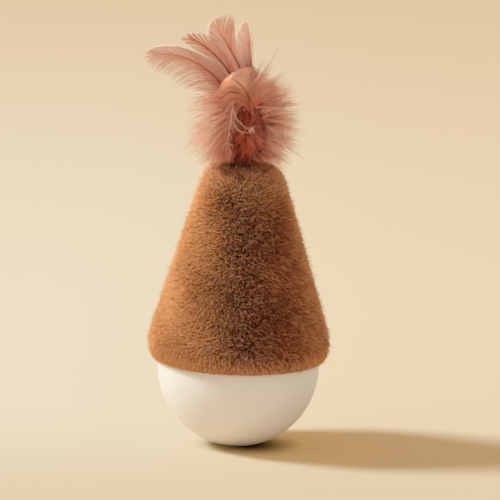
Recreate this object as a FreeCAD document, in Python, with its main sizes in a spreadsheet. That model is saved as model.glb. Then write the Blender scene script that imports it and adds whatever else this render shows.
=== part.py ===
import FreeCAD, Part
import math
import os
import Sketcher

# Tumbler cat toy: a weighted bowl with a ball-shaped bottom, a plush cone over a
# moulded core, and a feather plume on a ball seat that nods, sways and pulls out.
# Millimetres and degrees. Z is up, -Y is the front, and the origin is the middle of
# the small moulded flat that the bowl rests on.

SIZES = {
    # Clearances
    "soft_gap": 0.3,  # between soft pieces, and round the swivelling balls
    "fit_gap": 0.1,  # spigot in the bowl
    "screw_gap": 0.05,  # screw shank in its pilot hole
    # Widest radius of the cone, which the whole toy follows
    "cone_foot_radius": 38.2,
    # Bowl
    "bowl_inset": 3.2,  # bowl's outside within the cone's widest radius
    "bowl_wall": 2,
    "bowl_band": 3.7,  # straight band above the ball's middle
    "rest_spot_radius": 3.5,
    "boss_foot_radius": 7,
    "boss_foot_height": 2.2,
    "boss_radius": 4,
    "boss_setback": 0.5,  # boss top below the slug's top, so that the washer clamps
    "groove_drop": 1.9,  # snap groove below the rim
    "groove_depth": 0.6,
    "groove_half": 0.8,
    # Ballast and its fastening
    "ballast_height": 13.5,
    "ballast_chamfer": 1,
    "washer_radius": 8,
    "washer_thickness": 1,
    "screw_radius": 1.5,
    "screw_head_radius": 2.9,
    "screw_head_height": 2,
    "screw_hole_gap": 0.25,
    "ballast_screw_length": 9,
    "driver_recess_radius": 0.9,
    "driver_recess_depth": 1.1,
    # Plate between bowl and cone
    "plate_setback": 0.4,  # plate edge inside the bowl's outside
    "plate_thickness": 2,
    "spigot_depth": 3.4,
    "spigot_wall": 1.6,
    "bead_depth": 0.45,
    "bead_half": 0.6,
    "plate_screw_circle": 24,
    "plate_screw_length": 9,
    "plate_screw_count": 3,
    # Plush cone, measured on its outside
    "cone_foot_rise": 10.38,  # start of the straight slope above the bowl's rim
    "cone_length": 63.5,  # height of the straight slope
    "plush_thickness": 4,
    "hem_drop": 0.32,  # lowest edge of the plush below the rim
    "hem_bulge": 0.2,  # beyond the cone's foot
    "hem_bulge_rise": 4.8,
    "hem_lip": 0.3,  # thickness of the turned edge beyond the tape
    "shoulder_drop": 4,  # below the crown
    "shoulder_inset": 0.44,  # within the cone's line
    "crown_thickness": 3.7,
    "crown_inset": 1.05,  # within the inside of the plush
    "crown_seam": 0.1,
    "tape_thickness": 0.5,
    "tape_gap": 0.15,
    "tape_headroom": 0.7,  # below the place where the plush meets the cone
    # Padding and core
    "sleeve_thickness": 2,
    "sleeve_start": 1.5,  # above the core's flange
    "core_wall": 1.6,
    "core_flange_lip": 0.91,  # beyond the core's wall
    "core_flange_ledge": 0.3,  # inside the screw bosses
    "core_flange_thickness": 2,
    "core_boss_radius": 3.2,
    "core_boss_roof": 1.5,
    "core_pilot_spare": 1,  # pilot hole beyond the screw's tip
    # Ball seat of the plume: its radii follow from the quills outwards
    "pivot_rise": 1.6,  # above the straight slope
    "seat_wall": 2.2,
    "seat_rim": 1,  # between the seat and the cap screws
    "cap_rim": 0.4,  # round the heads of the cap screws
    "cap_height": 4.8,
    "cap_screw_radius": 0.8,
    "cap_screw_head_radius": 1.4,
    "cap_screw_head_height": 1.2,
    "cap_screw_length": 8.5,
    "cap_screw_count": 3,
    "grommet_wall": 2.1,
    "grommet_lip": 3.6,  # top of the grommet above the pivot
    "crown_clearance": 0.5,
    "plume_tilt": 12,  # swing of the plume each way, about X and about Y
    # Swivel bead and peg
    "bead_shoulder": 1.4,  # bead beyond its neck
    "neck_rise": 1,  # neck top above the crown
    "peg_radius": 2,
    "peg_gap": 0.05,
    "peg_setback": 0.62,  # peg's end above the bottom of the bead
    "peg_flange": 1.2,
    "cup_depth": 6,
    "cup_wall": 0.7,
    "binding_rise": 0.4,
    "binding_length": 4.4,
    "binding_wall": 0.6,
    # Feathers: length and sweep, in degrees, are those of the curved part
    "quill_radius": 0.4,
    "quill_circle": 1.4,
    "quill_room": 0.7,  # between the quills and the cup's wall
    "quill_foot": 0.6,  # above the cup's floor
    "quill_straight": 11.2,
    "vane_thickness": 0.4,
    "long_length": 62.3,
    "long_sweep": 104,
    "long_width": 11.4,
    "narrow_length": 51.8,
    "narrow_sweep": 62.6,
    "narrow_width": 4.6,
    "tall_length": 52.2,
    "tall_sweep": 21.5,
    "tall_width": 11,
    "upright_length": 50,
    "upright_sweep": 4,
    "upright_width": 6.2,
    "curled_length": 39,
    "curled_sweep": 80,
    "curled_width": 21,
    # Down tufts
    "down_slot": 2,  # half the gap that the feathers stand in
    "down_core": 2.6,
    "down_rise": 2.5,  # above the neck
    "down_middle_rise": 15.5,
    "down_front_radius": 16.5,
    "down_front_height": 24,
    "down_back_radius": 17.5,
    "down_back_height": 34.5,
}

doc = FreeCAD.newDocument("TumblerToy")
sheet = doc.addObject("Spreadsheet::Sheet", "Sizes")
for row, (name, number) in enumerate(SIZES.items(), start=1):
    sheet.set(f"A{row}", name)
    sheet.set(f"B{row}", str(number))
    sheet.setAlias(f"B{row}", name)
doc.recompute()


class Size:
    """A number together with the cell formula that gives it."""

    def __init__(self, value, formula):
        self.value = float(value)
        self.formula = formula

    def __add__(self, other):
        other = as_size(other)
        return Size(self.value + other.value, f"({self.formula} + {other.formula})")

    def __sub__(self, other):
        other = as_size(other)
        return Size(self.value - other.value, f"({self.formula} - {other.formula})")

    def __mul__(self, other):
        other = as_size(other)
        return Size(self.value * other.value, f"({self.formula} * {other.formula})")

    def __truediv__(self, other):
        other = as_size(other)
        return Size(self.value / other.value, f"({self.formula} / {other.formula})")

    def __neg__(self):
        return Size(-self.value, f"(0 - {self.formula})")

    def __radd__(self, other):
        return as_size(other) + self

    def __rsub__(self, other):
        return as_size(other) - self

    def __rmul__(self, other):
        return as_size(other) * self


class Cells:
    """The sheet's named cells as sizes."""

    def __getattr__(self, name):
        return Size(sheet.get(name), f"Sizes.{name}")


cell = Cells()


def as_size(thing):
    return thing if isinstance(thing, Size) else Size(thing, str(thing))


def root(a):
    return Size(math.sqrt(a.value), f"sqrt({a.formula})")


def sine(a):
    a = as_size(a)
    return Size(math.sin(math.radians(a.value)), f"sin({a.formula})")


def cosine(a):
    a = as_size(a)
    return Size(math.cos(math.radians(a.value)), f"cos({a.formula})")


def leg(longest, other):
    """The other short side of a right triangle."""
    return root(longest * longest - other * other)


# Sketching and the common features


def make_body(label):
    body = doc.addObject("PartDesign::Body", label)
    body.Label = label
    return body


def origin_item(body, role):
    return next(item for item in body.Origin.OriginFeatures if item.Role == role)


def sketch_on(body, name, role, lift=None):
    sketch = body.newObject("Sketcher::SketchObject", f"{body.Name}_{name}")
    sketch.AttachmentSupport = [(origin_item(body, role), "")]
    sketch.MapMode = "FlatFace"
    if lift is not None:
        sketch.setExpression("AttachmentOffset.Base.z", lift.formula)
    doc.recompute()
    return sketch


def pin(sketch, shape, end, x, y):
    """Hold one point of a sketch at x, y from its origin."""
    for kind, place in (("DistanceX", as_size(x)), ("DistanceY", as_size(y))):
        rule = Sketcher.Constraint(kind, -1, 1, shape, end, place.value)
        index = sketch.addConstraint(rule)
        sketch.setExpression(f"Constraints[{index}]", place.formula)


def at(x, y):
    return FreeCAD.Vector(as_size(x).value, as_size(y).value, 0)


def add_run(sketch, start, step):
    """Draw one run to the step's last point. Returns the shape and its two end numbers."""
    a = at(*start)
    b = at(*step[-2:])
    if len(step) == 2:
        return sketch.addGeometry(Part.LineSegment(a, b)), 1, 2
    via = at(*step[:2])
    anticlockwise = (via - a).cross(b - a).z > 0
    arc = Part.Arc(a, via, b) if anticlockwise else Part.Arc(b, via, a)
    shape = sketch.addGeometry(arc)
    marker = sketch.addGeometry(Part.Point(via), True)
    pin(sketch, marker, 1, *step[:2])
    sketch.addConstraint(Sketcher.Constraint("PointOnObject", marker, 1, shape))
    return (shape, 1, 2) if anticlockwise else (shape, 2, 1)


def draw(sketch, steps, closed=True):
    """Draw a chain of runs. A step is (x, y), straight to that point, or
    (x1, y1, x, y), an arc through the first point to the second. A closed chain
    comes back to the first step's point by the first step's own run."""
    runs = list(steps[1:]) + ([steps[0]] if closed else [])
    start = steps[0][-2:]
    drawn = []
    for step in runs:
        shape, first, last = add_run(sketch, start, step)
        pin(sketch, shape, first, *start)
        if drawn:
            joint = Sketcher.Constraint("Coincident", *drawn[-1][::2], shape, first)
            sketch.addConstraint(joint)
        drawn.append((shape, first, last))
        start = step[-2:]
    if closed:
        ends = (*drawn[-1][::2], *drawn[0][:2])
        sketch.addConstraint(Sketcher.Constraint("Coincident", *ends))
    else:
        pin(sketch, drawn[-1][0], drawn[-1][2], *start)


def add_circle(sketch, x, y, radius):
    shape = sketch.addGeometry(Part.Circle(at(x, y), FreeCAD.Vector(0, 0, 1), radius.value))
    pin(sketch, shape, 3, x, y)
    index = sketch.addConstraint(Sketcher.Constraint("Radius", shape, radius.value))
    sketch.setExpression(f"Constraints[{index}]", radius.formula)


def turn(body, steps, angle=360):
    """Revolve a half outline, drawn as radius and height, about the Z axis."""
    sketch = sketch_on(body, "profile", "XZ_Plane")
    draw(sketch, steps)
    turned = body.newObject("PartDesign::Revolution", f"{body.Name}_turned")
    turned.Profile = sketch
    turned.ReferenceAxis = (sketch, ["V_Axis"])
    turned.Angle = angle
    return turned


def turned_piece(label, steps, angle=360):
    body = make_body(label)
    turn(body, steps, angle)
    return body


def set_symmetric(feature, length):
    feature.SideType = "Symmetric"
    feature.setExpression("Length", length.formula)


def repeat_round(body, feature, count):
    pattern = body.newObject("PartDesign::PolarPattern", f"{feature.Name}_round")
    pattern.Originals = [feature]
    pattern.Axis = (origin_item(body, "Z_Axis"), [""])
    pattern.Angle = 360
    pattern.setExpression("Occurrences", count.formula)
    body.Tip = pattern


def holes(body, name, circle, radius, height, depth, count):
    """Round holes on a circle, cut to a depth above and below one height."""
    sketch = sketch_on(body, name, "XY_Plane", height)
    add_circle(sketch, circle, 0, radius)
    cut = body.newObject("PartDesign::Pocket", f"{body.Name}_{name}_cut")
    cut.Profile = sketch
    set_symmetric(cut, 2 * depth)
    doc.recompute()
    repeat_round(body, cut, count)


def screw_steps(radius, length, head_radius, head_height, seat, up=1):
    """Half outline of a pan-head screw whose head bears on the height seat.
    With up = 1 the head is above the seat, with up = -1 below."""
    head = seat + up * head_height
    edge = seat + up * 0.6 * head_height
    tip = seat - up * length
    point = seat - up * (length - radius)
    recess = head - up * cell.driver_recess_depth * (head_radius / cell.screw_head_radius)
    recess_radius = cell.driver_recess_radius * (head_radius / cell.screw_head_radius)
    return [
        (0, tip),
        (radius * 0.5, tip),
        (radius, point),
        (radius, seat),
        (head_radius, seat),
        (head_radius, edge),
        (head_radius * 0.7, head),
        (recess_radius, head),
        (recess_radius, recess),
        (0, recess),
    ]


def screw_ring(label, steps, circle, count):
    """Identical screws on a circle, as one group of separate solids."""
    screws = []
    for turn_number in range(round(count.value)):
        angle = 360 * turn_number / count.value
        screw = turned_piece(f"{label}_{turn_number + 1}", steps)
        screw.Placement.Rotation = FreeCAD.Rotation(FreeCAD.Vector(0, 0, 1), angle)
        screw.setExpression("Placement.Base.x", (circle * cosine(angle)).formula)
        screw.setExpression("Placement.Base.y", (circle * sine(angle)).formula)
        screws.append(screw)
    ring = doc.addObject("Part::Compound", label)
    ring.Label = label
    ring.Links = screws
    return ring


# Heights and radii that several pieces share

bowl_radius = cell.cone_foot_radius - cell.bowl_inset
ball_height = leg(bowl_radius, cell.rest_spot_radius)
rim_height = ball_height + cell.bowl_band
inner_radius = bowl_radius - cell.bowl_wall
boss_foot_top = ball_height - inner_radius + cell.boss_foot_height
ballast_top = boss_foot_top + cell.ballast_height
washer_top = ballast_top + cell.washer_thickness
boss_top = ballast_top - cell.boss_setback
groove_height = rim_height - cell.groove_drop
plate_top = rim_height + cell.plate_thickness
core_flange_top = plate_top + cell.core_flange_thickness
pilot_radius = cell.screw_radius + cell.screw_gap
screw_hole_radius = cell.screw_radius + cell.screw_hole_gap
hem_height = rim_height - cell.hem_drop
cone_foot_height = rim_height + cell.cone_foot_rise
cone_top_height = cone_foot_height + cell.cone_length
pivot_height = cone_top_height + cell.pivot_rise
cap_top = pivot_height + cell.cap_height
crown_low = cap_top + cell.crown_clearance
crown_height = crown_low + cell.crown_thickness
neck_top = crown_height + cell.neck_rise
cup_floor = neck_top + cell.peg_flange
cup_top = cup_floor + cell.cup_depth

# The plume's joint from the quills outwards

neck_radius = cell.quill_circle + cell.quill_radius + cell.quill_room + cell.cup_wall
bead_radius = neck_radius + cell.bead_shoulder
cavity_radius = bead_radius + cell.soft_gap
grommet_radius = cavity_radius + cell.grommet_wall
seat_radius = grommet_radius + cell.soft_gap
cap_screw_circle = seat_radius + cell.seat_rim + cell.cap_screw_radius
cap_radius = cap_screw_circle + cell.cap_screw_head_radius + cell.cap_rim

# The cone's layers, inwards from its outside

plush_inset = cell.plush_thickness
sleeve_inset = plush_inset + cell.soft_gap
sleeve_inner_inset = sleeve_inset + cell.sleeve_thickness
core_inset = sleeve_inner_inset + cell.soft_gap
cone_slope = (cell.cone_foot_radius - core_inset - cap_radius) / (cap_top - cone_foot_height)
skirt_radius = bowl_radius + cell.tape_gap * 2 + cell.tape_thickness


def cone_radius(height, inset):
    """Radius of the cone's line at a height, a distance inside the plush."""
    return cell.cone_foot_radius - cone_slope * (height - cone_foot_height) - inset


crown_radius = cone_radius(crown_low, plush_inset) - cell.crown_inset
skirt_top = (cell.cone_foot_radius - plush_inset - skirt_radius) / cone_slope + cone_foot_height


def ball_point(radius, angle, height):
    """A point of a ball on the Z axis, at an angle up from its middle."""
    return radius * cosine(angle), height + radius * sine(angle)


# Base: bowl, ballast and its fastening, and the plate that closes it


def base_bowl():
    """Ball-bottomed bowl with a boss for the slug and a groove for the plate's bead."""
    foot_edge = ball_height - leg(inner_radius, cell.boss_foot_radius)
    groove_radius = inner_radius + cell.groove_depth
    pilot_end = washer_top - cell.ballast_screw_length - cell.boss_setback
    return turned_piece(
        "base_bowl",
        [
            (0, 0),
            (cell.rest_spot_radius, 0),
            (*ball_point(bowl_radius, -45, ball_height), bowl_radius, ball_height),
            (bowl_radius, rim_height),
            (inner_radius, rim_height),
            (inner_radius, groove_height + cell.groove_half),
            (groove_radius, groove_height),
            (inner_radius, groove_height - cell.groove_half),
            (inner_radius, ball_height),
            (*ball_point(inner_radius, -45, ball_height), cell.boss_foot_radius, foot_edge),
            (cell.boss_foot_radius, boss_foot_top),
            (cell.boss_radius, boss_foot_top),
            (cell.boss_radius, boss_top),
            (pilot_radius, boss_top),
            (pilot_radius, pilot_end),
            (0, pilot_end),
        ],
    )


def ballast_weight():
    """Cast slug that follows the inside of the bowl and stands on the boss's foot."""
    radius = inner_radius - cell.soft_gap
    bore = cell.boss_radius + cell.soft_gap
    edge_height = ballast_top - cell.ballast_chamfer
    low_radius = leg(radius, ball_height - boss_foot_top)
    high_radius = leg(radius, ball_height - edge_height)
    middle_height = (boss_foot_top + edge_height) / 2
    middle_radius = leg(radius, ball_height - middle_height)
    return turned_piece(
        "ballast_weight",
        [
            (bore, boss_foot_top),
            (low_radius, boss_foot_top),
            (middle_radius, middle_height, high_radius, edge_height),
            (high_radius - cell.ballast_chamfer, ballast_top),
            (bore, ballast_top),
        ],
    )


def ballast_washer():
    return turned_piece(
        "ballast_washer",
        [
            (screw_hole_radius, ballast_top),
            (cell.washer_radius, ballast_top),
            (cell.washer_radius, washer_top),
            (screw_hole_radius, washer_top),
        ],
    )


def ballast_screw():
    steps = screw_steps(
        cell.screw_radius,
        cell.ballast_screw_length,
        cell.screw_head_radius,
        cell.screw_head_height,
        washer_top,
    )
    return turned_piece("ballast_screw", steps)


def joint_plate():
    """Disc on the bowl's rim, with a spigot and snap bead, and three screw holes."""
    spigot_outer = inner_radius - cell.fit_gap
    spigot_inner = spigot_outer - cell.spigot_wall
    spigot_end = rim_height - cell.spigot_depth
    edge = bowl_radius - cell.plate_setback
    body = turned_piece(
        "joint_plate",
        [
            (0, rim_height),
            (spigot_inner, rim_height),
            (spigot_inner, spigot_end),
            (spigot_outer, spigot_end),
            (spigot_outer, groove_height - cell.bead_half),
            (spigot_outer + cell.bead_depth, groove_height),
            (spigot_outer, groove_height + cell.bead_half),
            (spigot_outer, rim_height),
            (edge, rim_height),
            (edge, plate_top),
            (0, plate_top),
        ],
    )
    depth = cell.plate_thickness * 2
    circle = cell.plate_screw_circle
    holes(body, "holes", circle, screw_hole_radius, rim_height, depth, cell.plate_screw_count)
    return body


def plate_screws():
    steps = screw_steps(
        cell.screw_radius,
        cell.plate_screw_length,
        cell.screw_head_radius,
        cell.screw_head_height,
        rim_height,
        up=-1,
    )
    return screw_ring("plate_screws", steps, cell.plate_screw_circle, cell.plate_screw_count)


# Cone: core, padding, plush and hem tape


def cone_core():
    """Hollow moulded cone with a screw flange and the lower half of the ball seat."""
    ceiling = pivot_height - seat_radius - cell.seat_wall
    inner_inset = core_inset + cell.core_wall
    flange_inner = cell.plate_screw_circle - cell.core_boss_radius - cell.core_flange_ledge
    flange_radius = cone_radius(core_flange_top, core_inset) + cell.core_flange_lip
    pilot_depth = cell.plate_screw_length - cell.plate_thickness + cell.core_pilot_spare
    body = turned_piece(
        "cone_core",
        [
            (flange_inner, plate_top),
            (flange_radius, plate_top),
            (flange_radius, core_flange_top),
            (cone_radius(core_flange_top, core_inset), core_flange_top),
            (cone_radius(pivot_height, core_inset), pivot_height),
            (seat_radius, pivot_height),
            (*ball_point(seat_radius, -45, pivot_height), 0, pivot_height - seat_radius),
            (0, ceiling),
            (cone_radius(ceiling, inner_inset), ceiling),
            (cone_radius(core_flange_top, inner_inset), core_flange_top),
            (flange_inner, core_flange_top),
        ],
    )
    bosses = sketch_on(body, "boss", "XY_Plane", plate_top)
    add_circle(bosses, cell.plate_screw_circle, 0, cell.core_boss_radius)
    pad = body.newObject("PartDesign::Pad", "cone_core_boss_pad")
    pad.Profile = bosses
    pad.setExpression("Length", (pilot_depth + cell.core_boss_roof).formula)
    doc.recompute()
    repeat_round(body, pad, cell.plate_screw_count)
    circle = cell.plate_screw_circle
    holes(body, "pilots", circle, pilot_radius, plate_top, pilot_depth, cell.plate_screw_count)
    radius = cell.cap_screw_radius + cell.screw_gap
    depth = cell.cap_screw_length - cell.cap_height + 2 * cell.cap_screw_head_height
    holes(body, "cap_pilots", cap_screw_circle, radius, pivot_height, depth, cell.cap_screw_count)
    return body


def socket_cap():
    """Upper half of the ball seat, held down by three small screws."""
    mouth = leg(seat_radius, cell.cap_height)
    middle = pivot_height + cell.cap_height / 2
    middle_radius = leg(seat_radius, cell.cap_height / 2)
    body = turned_piece(
        "socket_cap",
        [
            (seat_radius, pivot_height),
            (cone_radius(pivot_height, core_inset), pivot_height),
            (cap_radius, cap_top),
            (mouth, cap_top),
        ],
    )
    # the seat is a groove, so that the cap's wall stays a plain outline
    sketch = sketch_on(body, "seat", "XZ_Plane")
    draw(
        sketch,
        [
            (0, pivot_height),
            (seat_radius, pivot_height),
            (middle_radius, middle, mouth, cap_top),
            (0, cap_top),
        ],
    )
    seat = body.newObject("PartDesign::Groove", "socket_cap_seat_cut")
    seat.Profile = sketch
    seat.ReferenceAxis = (sketch, ["V_Axis"])
    seat.Angle = 360
    doc.recompute()
    count = cell.cap_screw_count
    shank = cell.cap_screw_radius + cell.screw_gap
    head = cell.cap_screw_head_radius + cell.fit_gap
    holes(body, "shanks", cap_screw_circle, shank, pivot_height, cell.cap_height * 2, count)
    holes(body, "heads", cap_screw_circle, head, cap_top, cell.cap_screw_head_height, count)
    return body


def cap_screws():
    steps = screw_steps(
        cell.cap_screw_radius,
        cell.cap_screw_length,
        cell.cap_screw_head_radius,
        cell.cap_screw_head_height,
        cap_top - cell.cap_screw_head_height,
    )
    return screw_ring("cap_screws", steps, cap_screw_circle, cell.cap_screw_count)


def padding_sleeve():
    """Thin foam sleeve between the core and the plush."""
    low = core_flange_top + cell.sleeve_start
    return turned_piece(
        "padding_sleeve",
        [
            (cone_radius(low, sleeve_inner_inset), low),
            (cone_radius(low, sleeve_inset), low),
            (cone_radius(cap_top, sleeve_inset), cap_top),
            (cone_radius(cap_top, sleeve_inner_inset), cap_top),
        ],
    )


def hem_tape():
    """Woven tape round the rim, inside the plush hem."""
    inner = bowl_radius + cell.tape_gap
    outer = inner + cell.tape_thickness
    top = skirt_top - cell.tape_headroom
    return turned_piece(
        "hem_tape", [(inner, hem_height), (outer, hem_height), (outer, top), (inner, top)]
    )


def plush_panel(label, side):
    """Half of the cone's cover: flared round hem, straight slope, round shoulder."""
    bulge_radius = cell.cone_foot_radius + cell.hem_bulge
    bulge_height = hem_height + cell.hem_bulge_rise
    shoulder_height = crown_height - cell.shoulder_drop
    shoulder_radius = cone_radius(shoulder_height, cell.shoulder_inset)
    seam_radius = crown_radius + cell.crown_seam
    body = turned_piece(
        label,
        [
            (skirt_radius, hem_height),
            (skirt_radius + cell.hem_lip, hem_height),
            (bulge_radius, bulge_height, cell.cone_foot_radius, cone_foot_height),
            (cone_radius(cone_top_height, 0), cone_top_height),
            (shoulder_radius, shoulder_height, seam_radius, crown_height),
            (seam_radius, crown_low),
            (cone_radius(crown_low, plush_inset), crown_low),
            (skirt_radius, skirt_top),
        ],
        angle=180,
    )
    turn_about_z = FreeCAD.Rotation(FreeCAD.Vector(0, 0, 1), side * 90)
    body.Placement = FreeCAD.Placement(FreeCAD.Vector(0, 0, 0), turn_about_z)
    return body


def crown_hole(height):
    """Room for the plume's neck at a height, with both swings at their limit."""
    both = cosine(cell.plume_tilt) * cosine(cell.plume_tilt)
    lean = leg(as_size(1), both) / both
    rise = height - pivot_height
    return rise * lean + neck_radius / both + cell.soft_gap


def plush_crown():
    """Round top of the cover, with the hole that the plume stands in."""
    return turned_piece(
        "plush_crown",
        [
            (crown_hole(crown_low), crown_low),
            (crown_radius, crown_low),
            (crown_radius, crown_height),
            (crown_hole(crown_height), crown_height),
        ],
    )


# Swivel: rubber grommet in the seat, and the bead in the grommet


def rubber_grommet():
    """Rubber ball with a round cavity, open at the top for the bead's neck."""
    tilt = cell.plume_tilt
    lean = sine(tilt) / cosine(tilt)
    mouth = cell.grommet_lip * lean + neck_radius / cosine(tilt) + cell.soft_gap
    height = pivot_height
    top = height + cell.grommet_lip
    return turned_piece(
        "rubber_grommet",
        [
            (0, height - grommet_radius),
            (grommet_radius, height, leg(grommet_radius, cell.grommet_lip), top),
            (mouth, top),
            (mouth, height + leg(cavity_radius, mouth)),
            (cavity_radius, height, 0, height - cavity_radius),
        ],
    )


peg_bore = cell.peg_radius + cell.peg_gap
bead_low = pivot_height - leg(bead_radius, peg_bore)


def swivel_bead():
    """Bead with a neck, bored for the plume's peg."""
    neck_foot = pivot_height + leg(bead_radius, neck_radius)
    return turned_piece(
        "swivel_bead",
        [
            (peg_bore, bead_low),
            (bead_radius, pivot_height, neck_radius, neck_foot),
            (neck_radius, neck_top),
            (peg_bore, neck_top),
        ],
    )


# Plume: peg, winding, feathers and down


def plume_peg():
    """Peg with a flange that seats on the neck and a cup for the quills."""
    low = bead_low + cell.peg_setback
    return turned_piece(
        "plume_peg",
        [
            (0, low),
            (cell.peg_radius * 0.75, low),
            (cell.peg_radius, low + cell.peg_radius * 0.5),
            (cell.peg_radius, neck_top),
            (neck_radius, neck_top),
            (neck_radius, cup_top),
            (neck_radius - cell.cup_wall, cup_top),
            (neck_radius - cell.cup_wall, cup_floor),
            (0, cup_floor),
        ],
    )


def binding_thread():
    """The winding round the quills, as the tube that it fills."""
    inner = cell.quill_circle + cell.quill_radius + cell.fit_gap
    outer = inner + cell.binding_wall
    low = cup_top + cell.binding_rise
    high = low + cell.binding_length
    return turned_piece("binding_thread", [(inner, low), (outer, low), (outer, high), (inner, high)])


quill_start = cup_floor + cell.quill_foot


def bend_radius(length, sweep):
    return length / (sweep * (math.pi / 180))


def bent_point(bend, side, angle):
    """A point beside the curved rachis: side is its distance outside the curve."""
    return (bend + side) * cosine(angle) - bend, cell.quill_straight + (bend + side) * sine(angle)


def add_rachis(body, bend, sweep, plane):
    """The shaft: straight from the cup, then curved towards minus on its plane."""
    foot = sketch_on(body, "foot", "XY_Plane")
    add_circle(foot, 0, 0, cell.quill_radius)
    path = sketch_on(body, "path", plane)
    tip = bent_point(bend, 0, sweep)
    middle = bent_point(bend, 0, sweep / 2)
    draw(path, [(0, 0), (0, cell.quill_straight), (*middle, *tip)], closed=False)
    pipe = body.newObject("PartDesign::AdditivePipe", f"{body.Name}_rachis")
    pipe.Profile = foot
    pipe.Spine = path
    doc.recompute()


def place_on_quill_circle(piece, angle, turned=0):
    turn_about_z = FreeCAD.Rotation(FreeCAD.Vector(0, 0, 1), turned)
    piece.Placement = FreeCAD.Placement(FreeCAD.Vector(0, 0, 0), turn_about_z)
    if angle is not None:
        piece.setExpression("Placement.Base.x", (cell.quill_circle * cosine(angle)).formula)
        piece.setExpression("Placement.Base.y", (cell.quill_circle * sine(angle)).formula)
    piece.setExpression("Placement.Base.z", quill_start.formula)


def flat_feather(label, length, sweep, width, vane_from, angle, turned=0):
    """A feather whose shaft bends within its own vane. The vane starts at the share
    vane_from of the sweep, widens, runs even and closes in a round tip."""
    body = make_body(label)
    bend = bend_radius(length, sweep)
    half = width / 2
    start = sweep * vane_from
    full = start + (sweep - start) * 0.3
    late = start + (sweep - start) * 0.82
    middle = (full + late) / 2
    vane = sketch_on(body, "vane", "XZ_Plane")
    draw(
        vane,
        [
            bent_point(bend, 0, start),
            bent_point(bend, half, full),
            (*bent_point(bend, half, middle), *bent_point(bend, half, late)),
            (*bent_point(bend, 0, sweep), *bent_point(bend, -half, late)),
            (*bent_point(bend, -half, middle), *bent_point(bend, -half, full)),
        ],
    )
    pad = body.newObject("PartDesign::Pad", f"{label}_vane_pad")
    pad.Profile = vane
    set_symmetric(pad, cell.vane_thickness)
    doc.recompute()
    add_rachis(body, bend, sweep, "XZ_Plane")
    place_on_quill_circle(body, angle, turned)
    return body


def curled_feather(label, length, sweep, width, vane_middle, angle):
    """A broad feather that curls over to the front: a bent strip cut round by a ball."""
    bend = bend_radius(length, sweep)
    half = cell.vane_thickness / 2
    start = sweep * 0.3
    middle = (start + sweep) / 2
    strip = make_body(f"{label}_strip")
    band = sketch_on(strip, "band", "YZ_Plane")
    draw(
        band,
        [
            (*bent_point(bend, -half, middle), *bent_point(bend, -half, start)),
            bent_point(bend, half, start),
            (*bent_point(bend, half, middle), *bent_point(bend, half, sweep)),
            bent_point(bend, -half, sweep),
        ],
    )
    pad = strip.newObject("PartDesign::Pad", f"{label}_strip_pad")
    pad.Profile = band
    set_symmetric(pad, width)
    ball = doc.addObject("Part::Sphere", f"{label}_round")
    ball.setExpression("Radius", (width / 2).formula)
    ball_y, ball_z = bent_point(bend, 0, sweep * vane_middle)
    ball.setExpression("Placement.Base.y", ball_y.formula)
    ball.setExpression("Placement.Base.z", ball_z.formula)
    vane = doc.addObject("Part::Common", f"{label}_vane")
    vane.Base = strip
    vane.Tool = ball
    shaft = make_body(f"{label}_shaft")
    add_rachis(shaft, bend, sweep, "YZ_Plane")
    feather = doc.addObject("Part::Fuse", label)
    feather.Label = label
    feather.Base = vane
    feather.Tool = shaft
    place_on_quill_circle(feather, angle)
    return feather


def down_tuft(label, radius, height, quarter):
    """A quarter of the fluffy ball, set off from the middle to leave the slots."""
    low = neck_top + cell.down_rise
    middle = low + cell.down_middle_rise
    top = low + height
    reach = radius - cell.down_core
    share = math.sqrt(0.5)
    body = turned_piece(
        label,
        [
            (cell.down_core, low),
            (
                cell.down_core + reach * share,
                middle - (middle - low) * share,
                radius,
                middle,
            ),
            (
                cell.down_core + reach * share,
                middle + (top - middle) * share,
                cell.down_core,
                top,
            ),
        ],
        angle=90,
    )
    # a quarter turned from the XZ plane lies in one corner of the slots' cross
    corner = FreeCAD.Rotation(FreeCAD.Vector(0, 0, 1), quarter * 90)
    body.Placement = FreeCAD.Placement(FreeCAD.Vector(0, 0, 0), corner)
    away = corner.multVec(FreeCAD.Vector(1, 1, 0))
    body.setExpression("Placement.Base.x", (cell.down_slot * round(away.x)).formula)
    body.setExpression("Placement.Base.y", (cell.down_slot * round(away.y)).formula)
    return body


pieces = [
    base_bowl(),
    ballast_weight(),
    ballast_washer(),
    ballast_screw(),
    joint_plate(),
    plate_screws(),
    cone_core(),
    socket_cap(),
    cap_screws(),
    padding_sleeve(),
    hem_tape(),
    plush_panel("plush_panel_left", 1),
    plush_panel("plush_panel_right", -1),
    plush_crown(),
    rubber_grommet(),
    swivel_bead(),
    plume_peg(),
    binding_thread(),
    flat_feather("feather_long", cell.long_length, cell.long_sweep, cell.long_width, 0.35, 210),
    flat_feather(
        "feather_narrow", cell.narrow_length, cell.narrow_sweep, cell.narrow_width, 0.4, 150
    ),
    flat_feather("feather_tall", cell.tall_length, cell.tall_sweep, cell.tall_width, 0.35, None),
    flat_feather(
        "feather_upright", cell.upright_length, cell.upright_sweep, cell.upright_width, 0.45, 60
    ),
    curled_feather(
        "feather_curled", cell.curled_length, cell.curled_sweep, cell.curled_width, 0.7, 300
    ),
    down_tuft("down_back_right", cell.down_back_radius, cell.down_back_height, 0),
    down_tuft("down_back_left", cell.down_back_radius, cell.down_back_height, 1),
    down_tuft("down_front_left", cell.down_front_radius, cell.down_front_height, 2),
    down_tuft("down_front_right", cell.down_front_radius, cell.down_front_height, 3),
]
doc.recompute()

for item in doc.Objects:
    if "Invalid" in item.State or "Error" in item.State:
        raise RuntimeError(f"{item.Label} did not compute: {item.State}")
for piece in pieces:
    if piece.Shape.isNull() or not piece.Shape.isValid() or piece.Shape.Volume <= 0:
        raise RuntimeError(f"{piece.Label} is not a valid solid")

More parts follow.
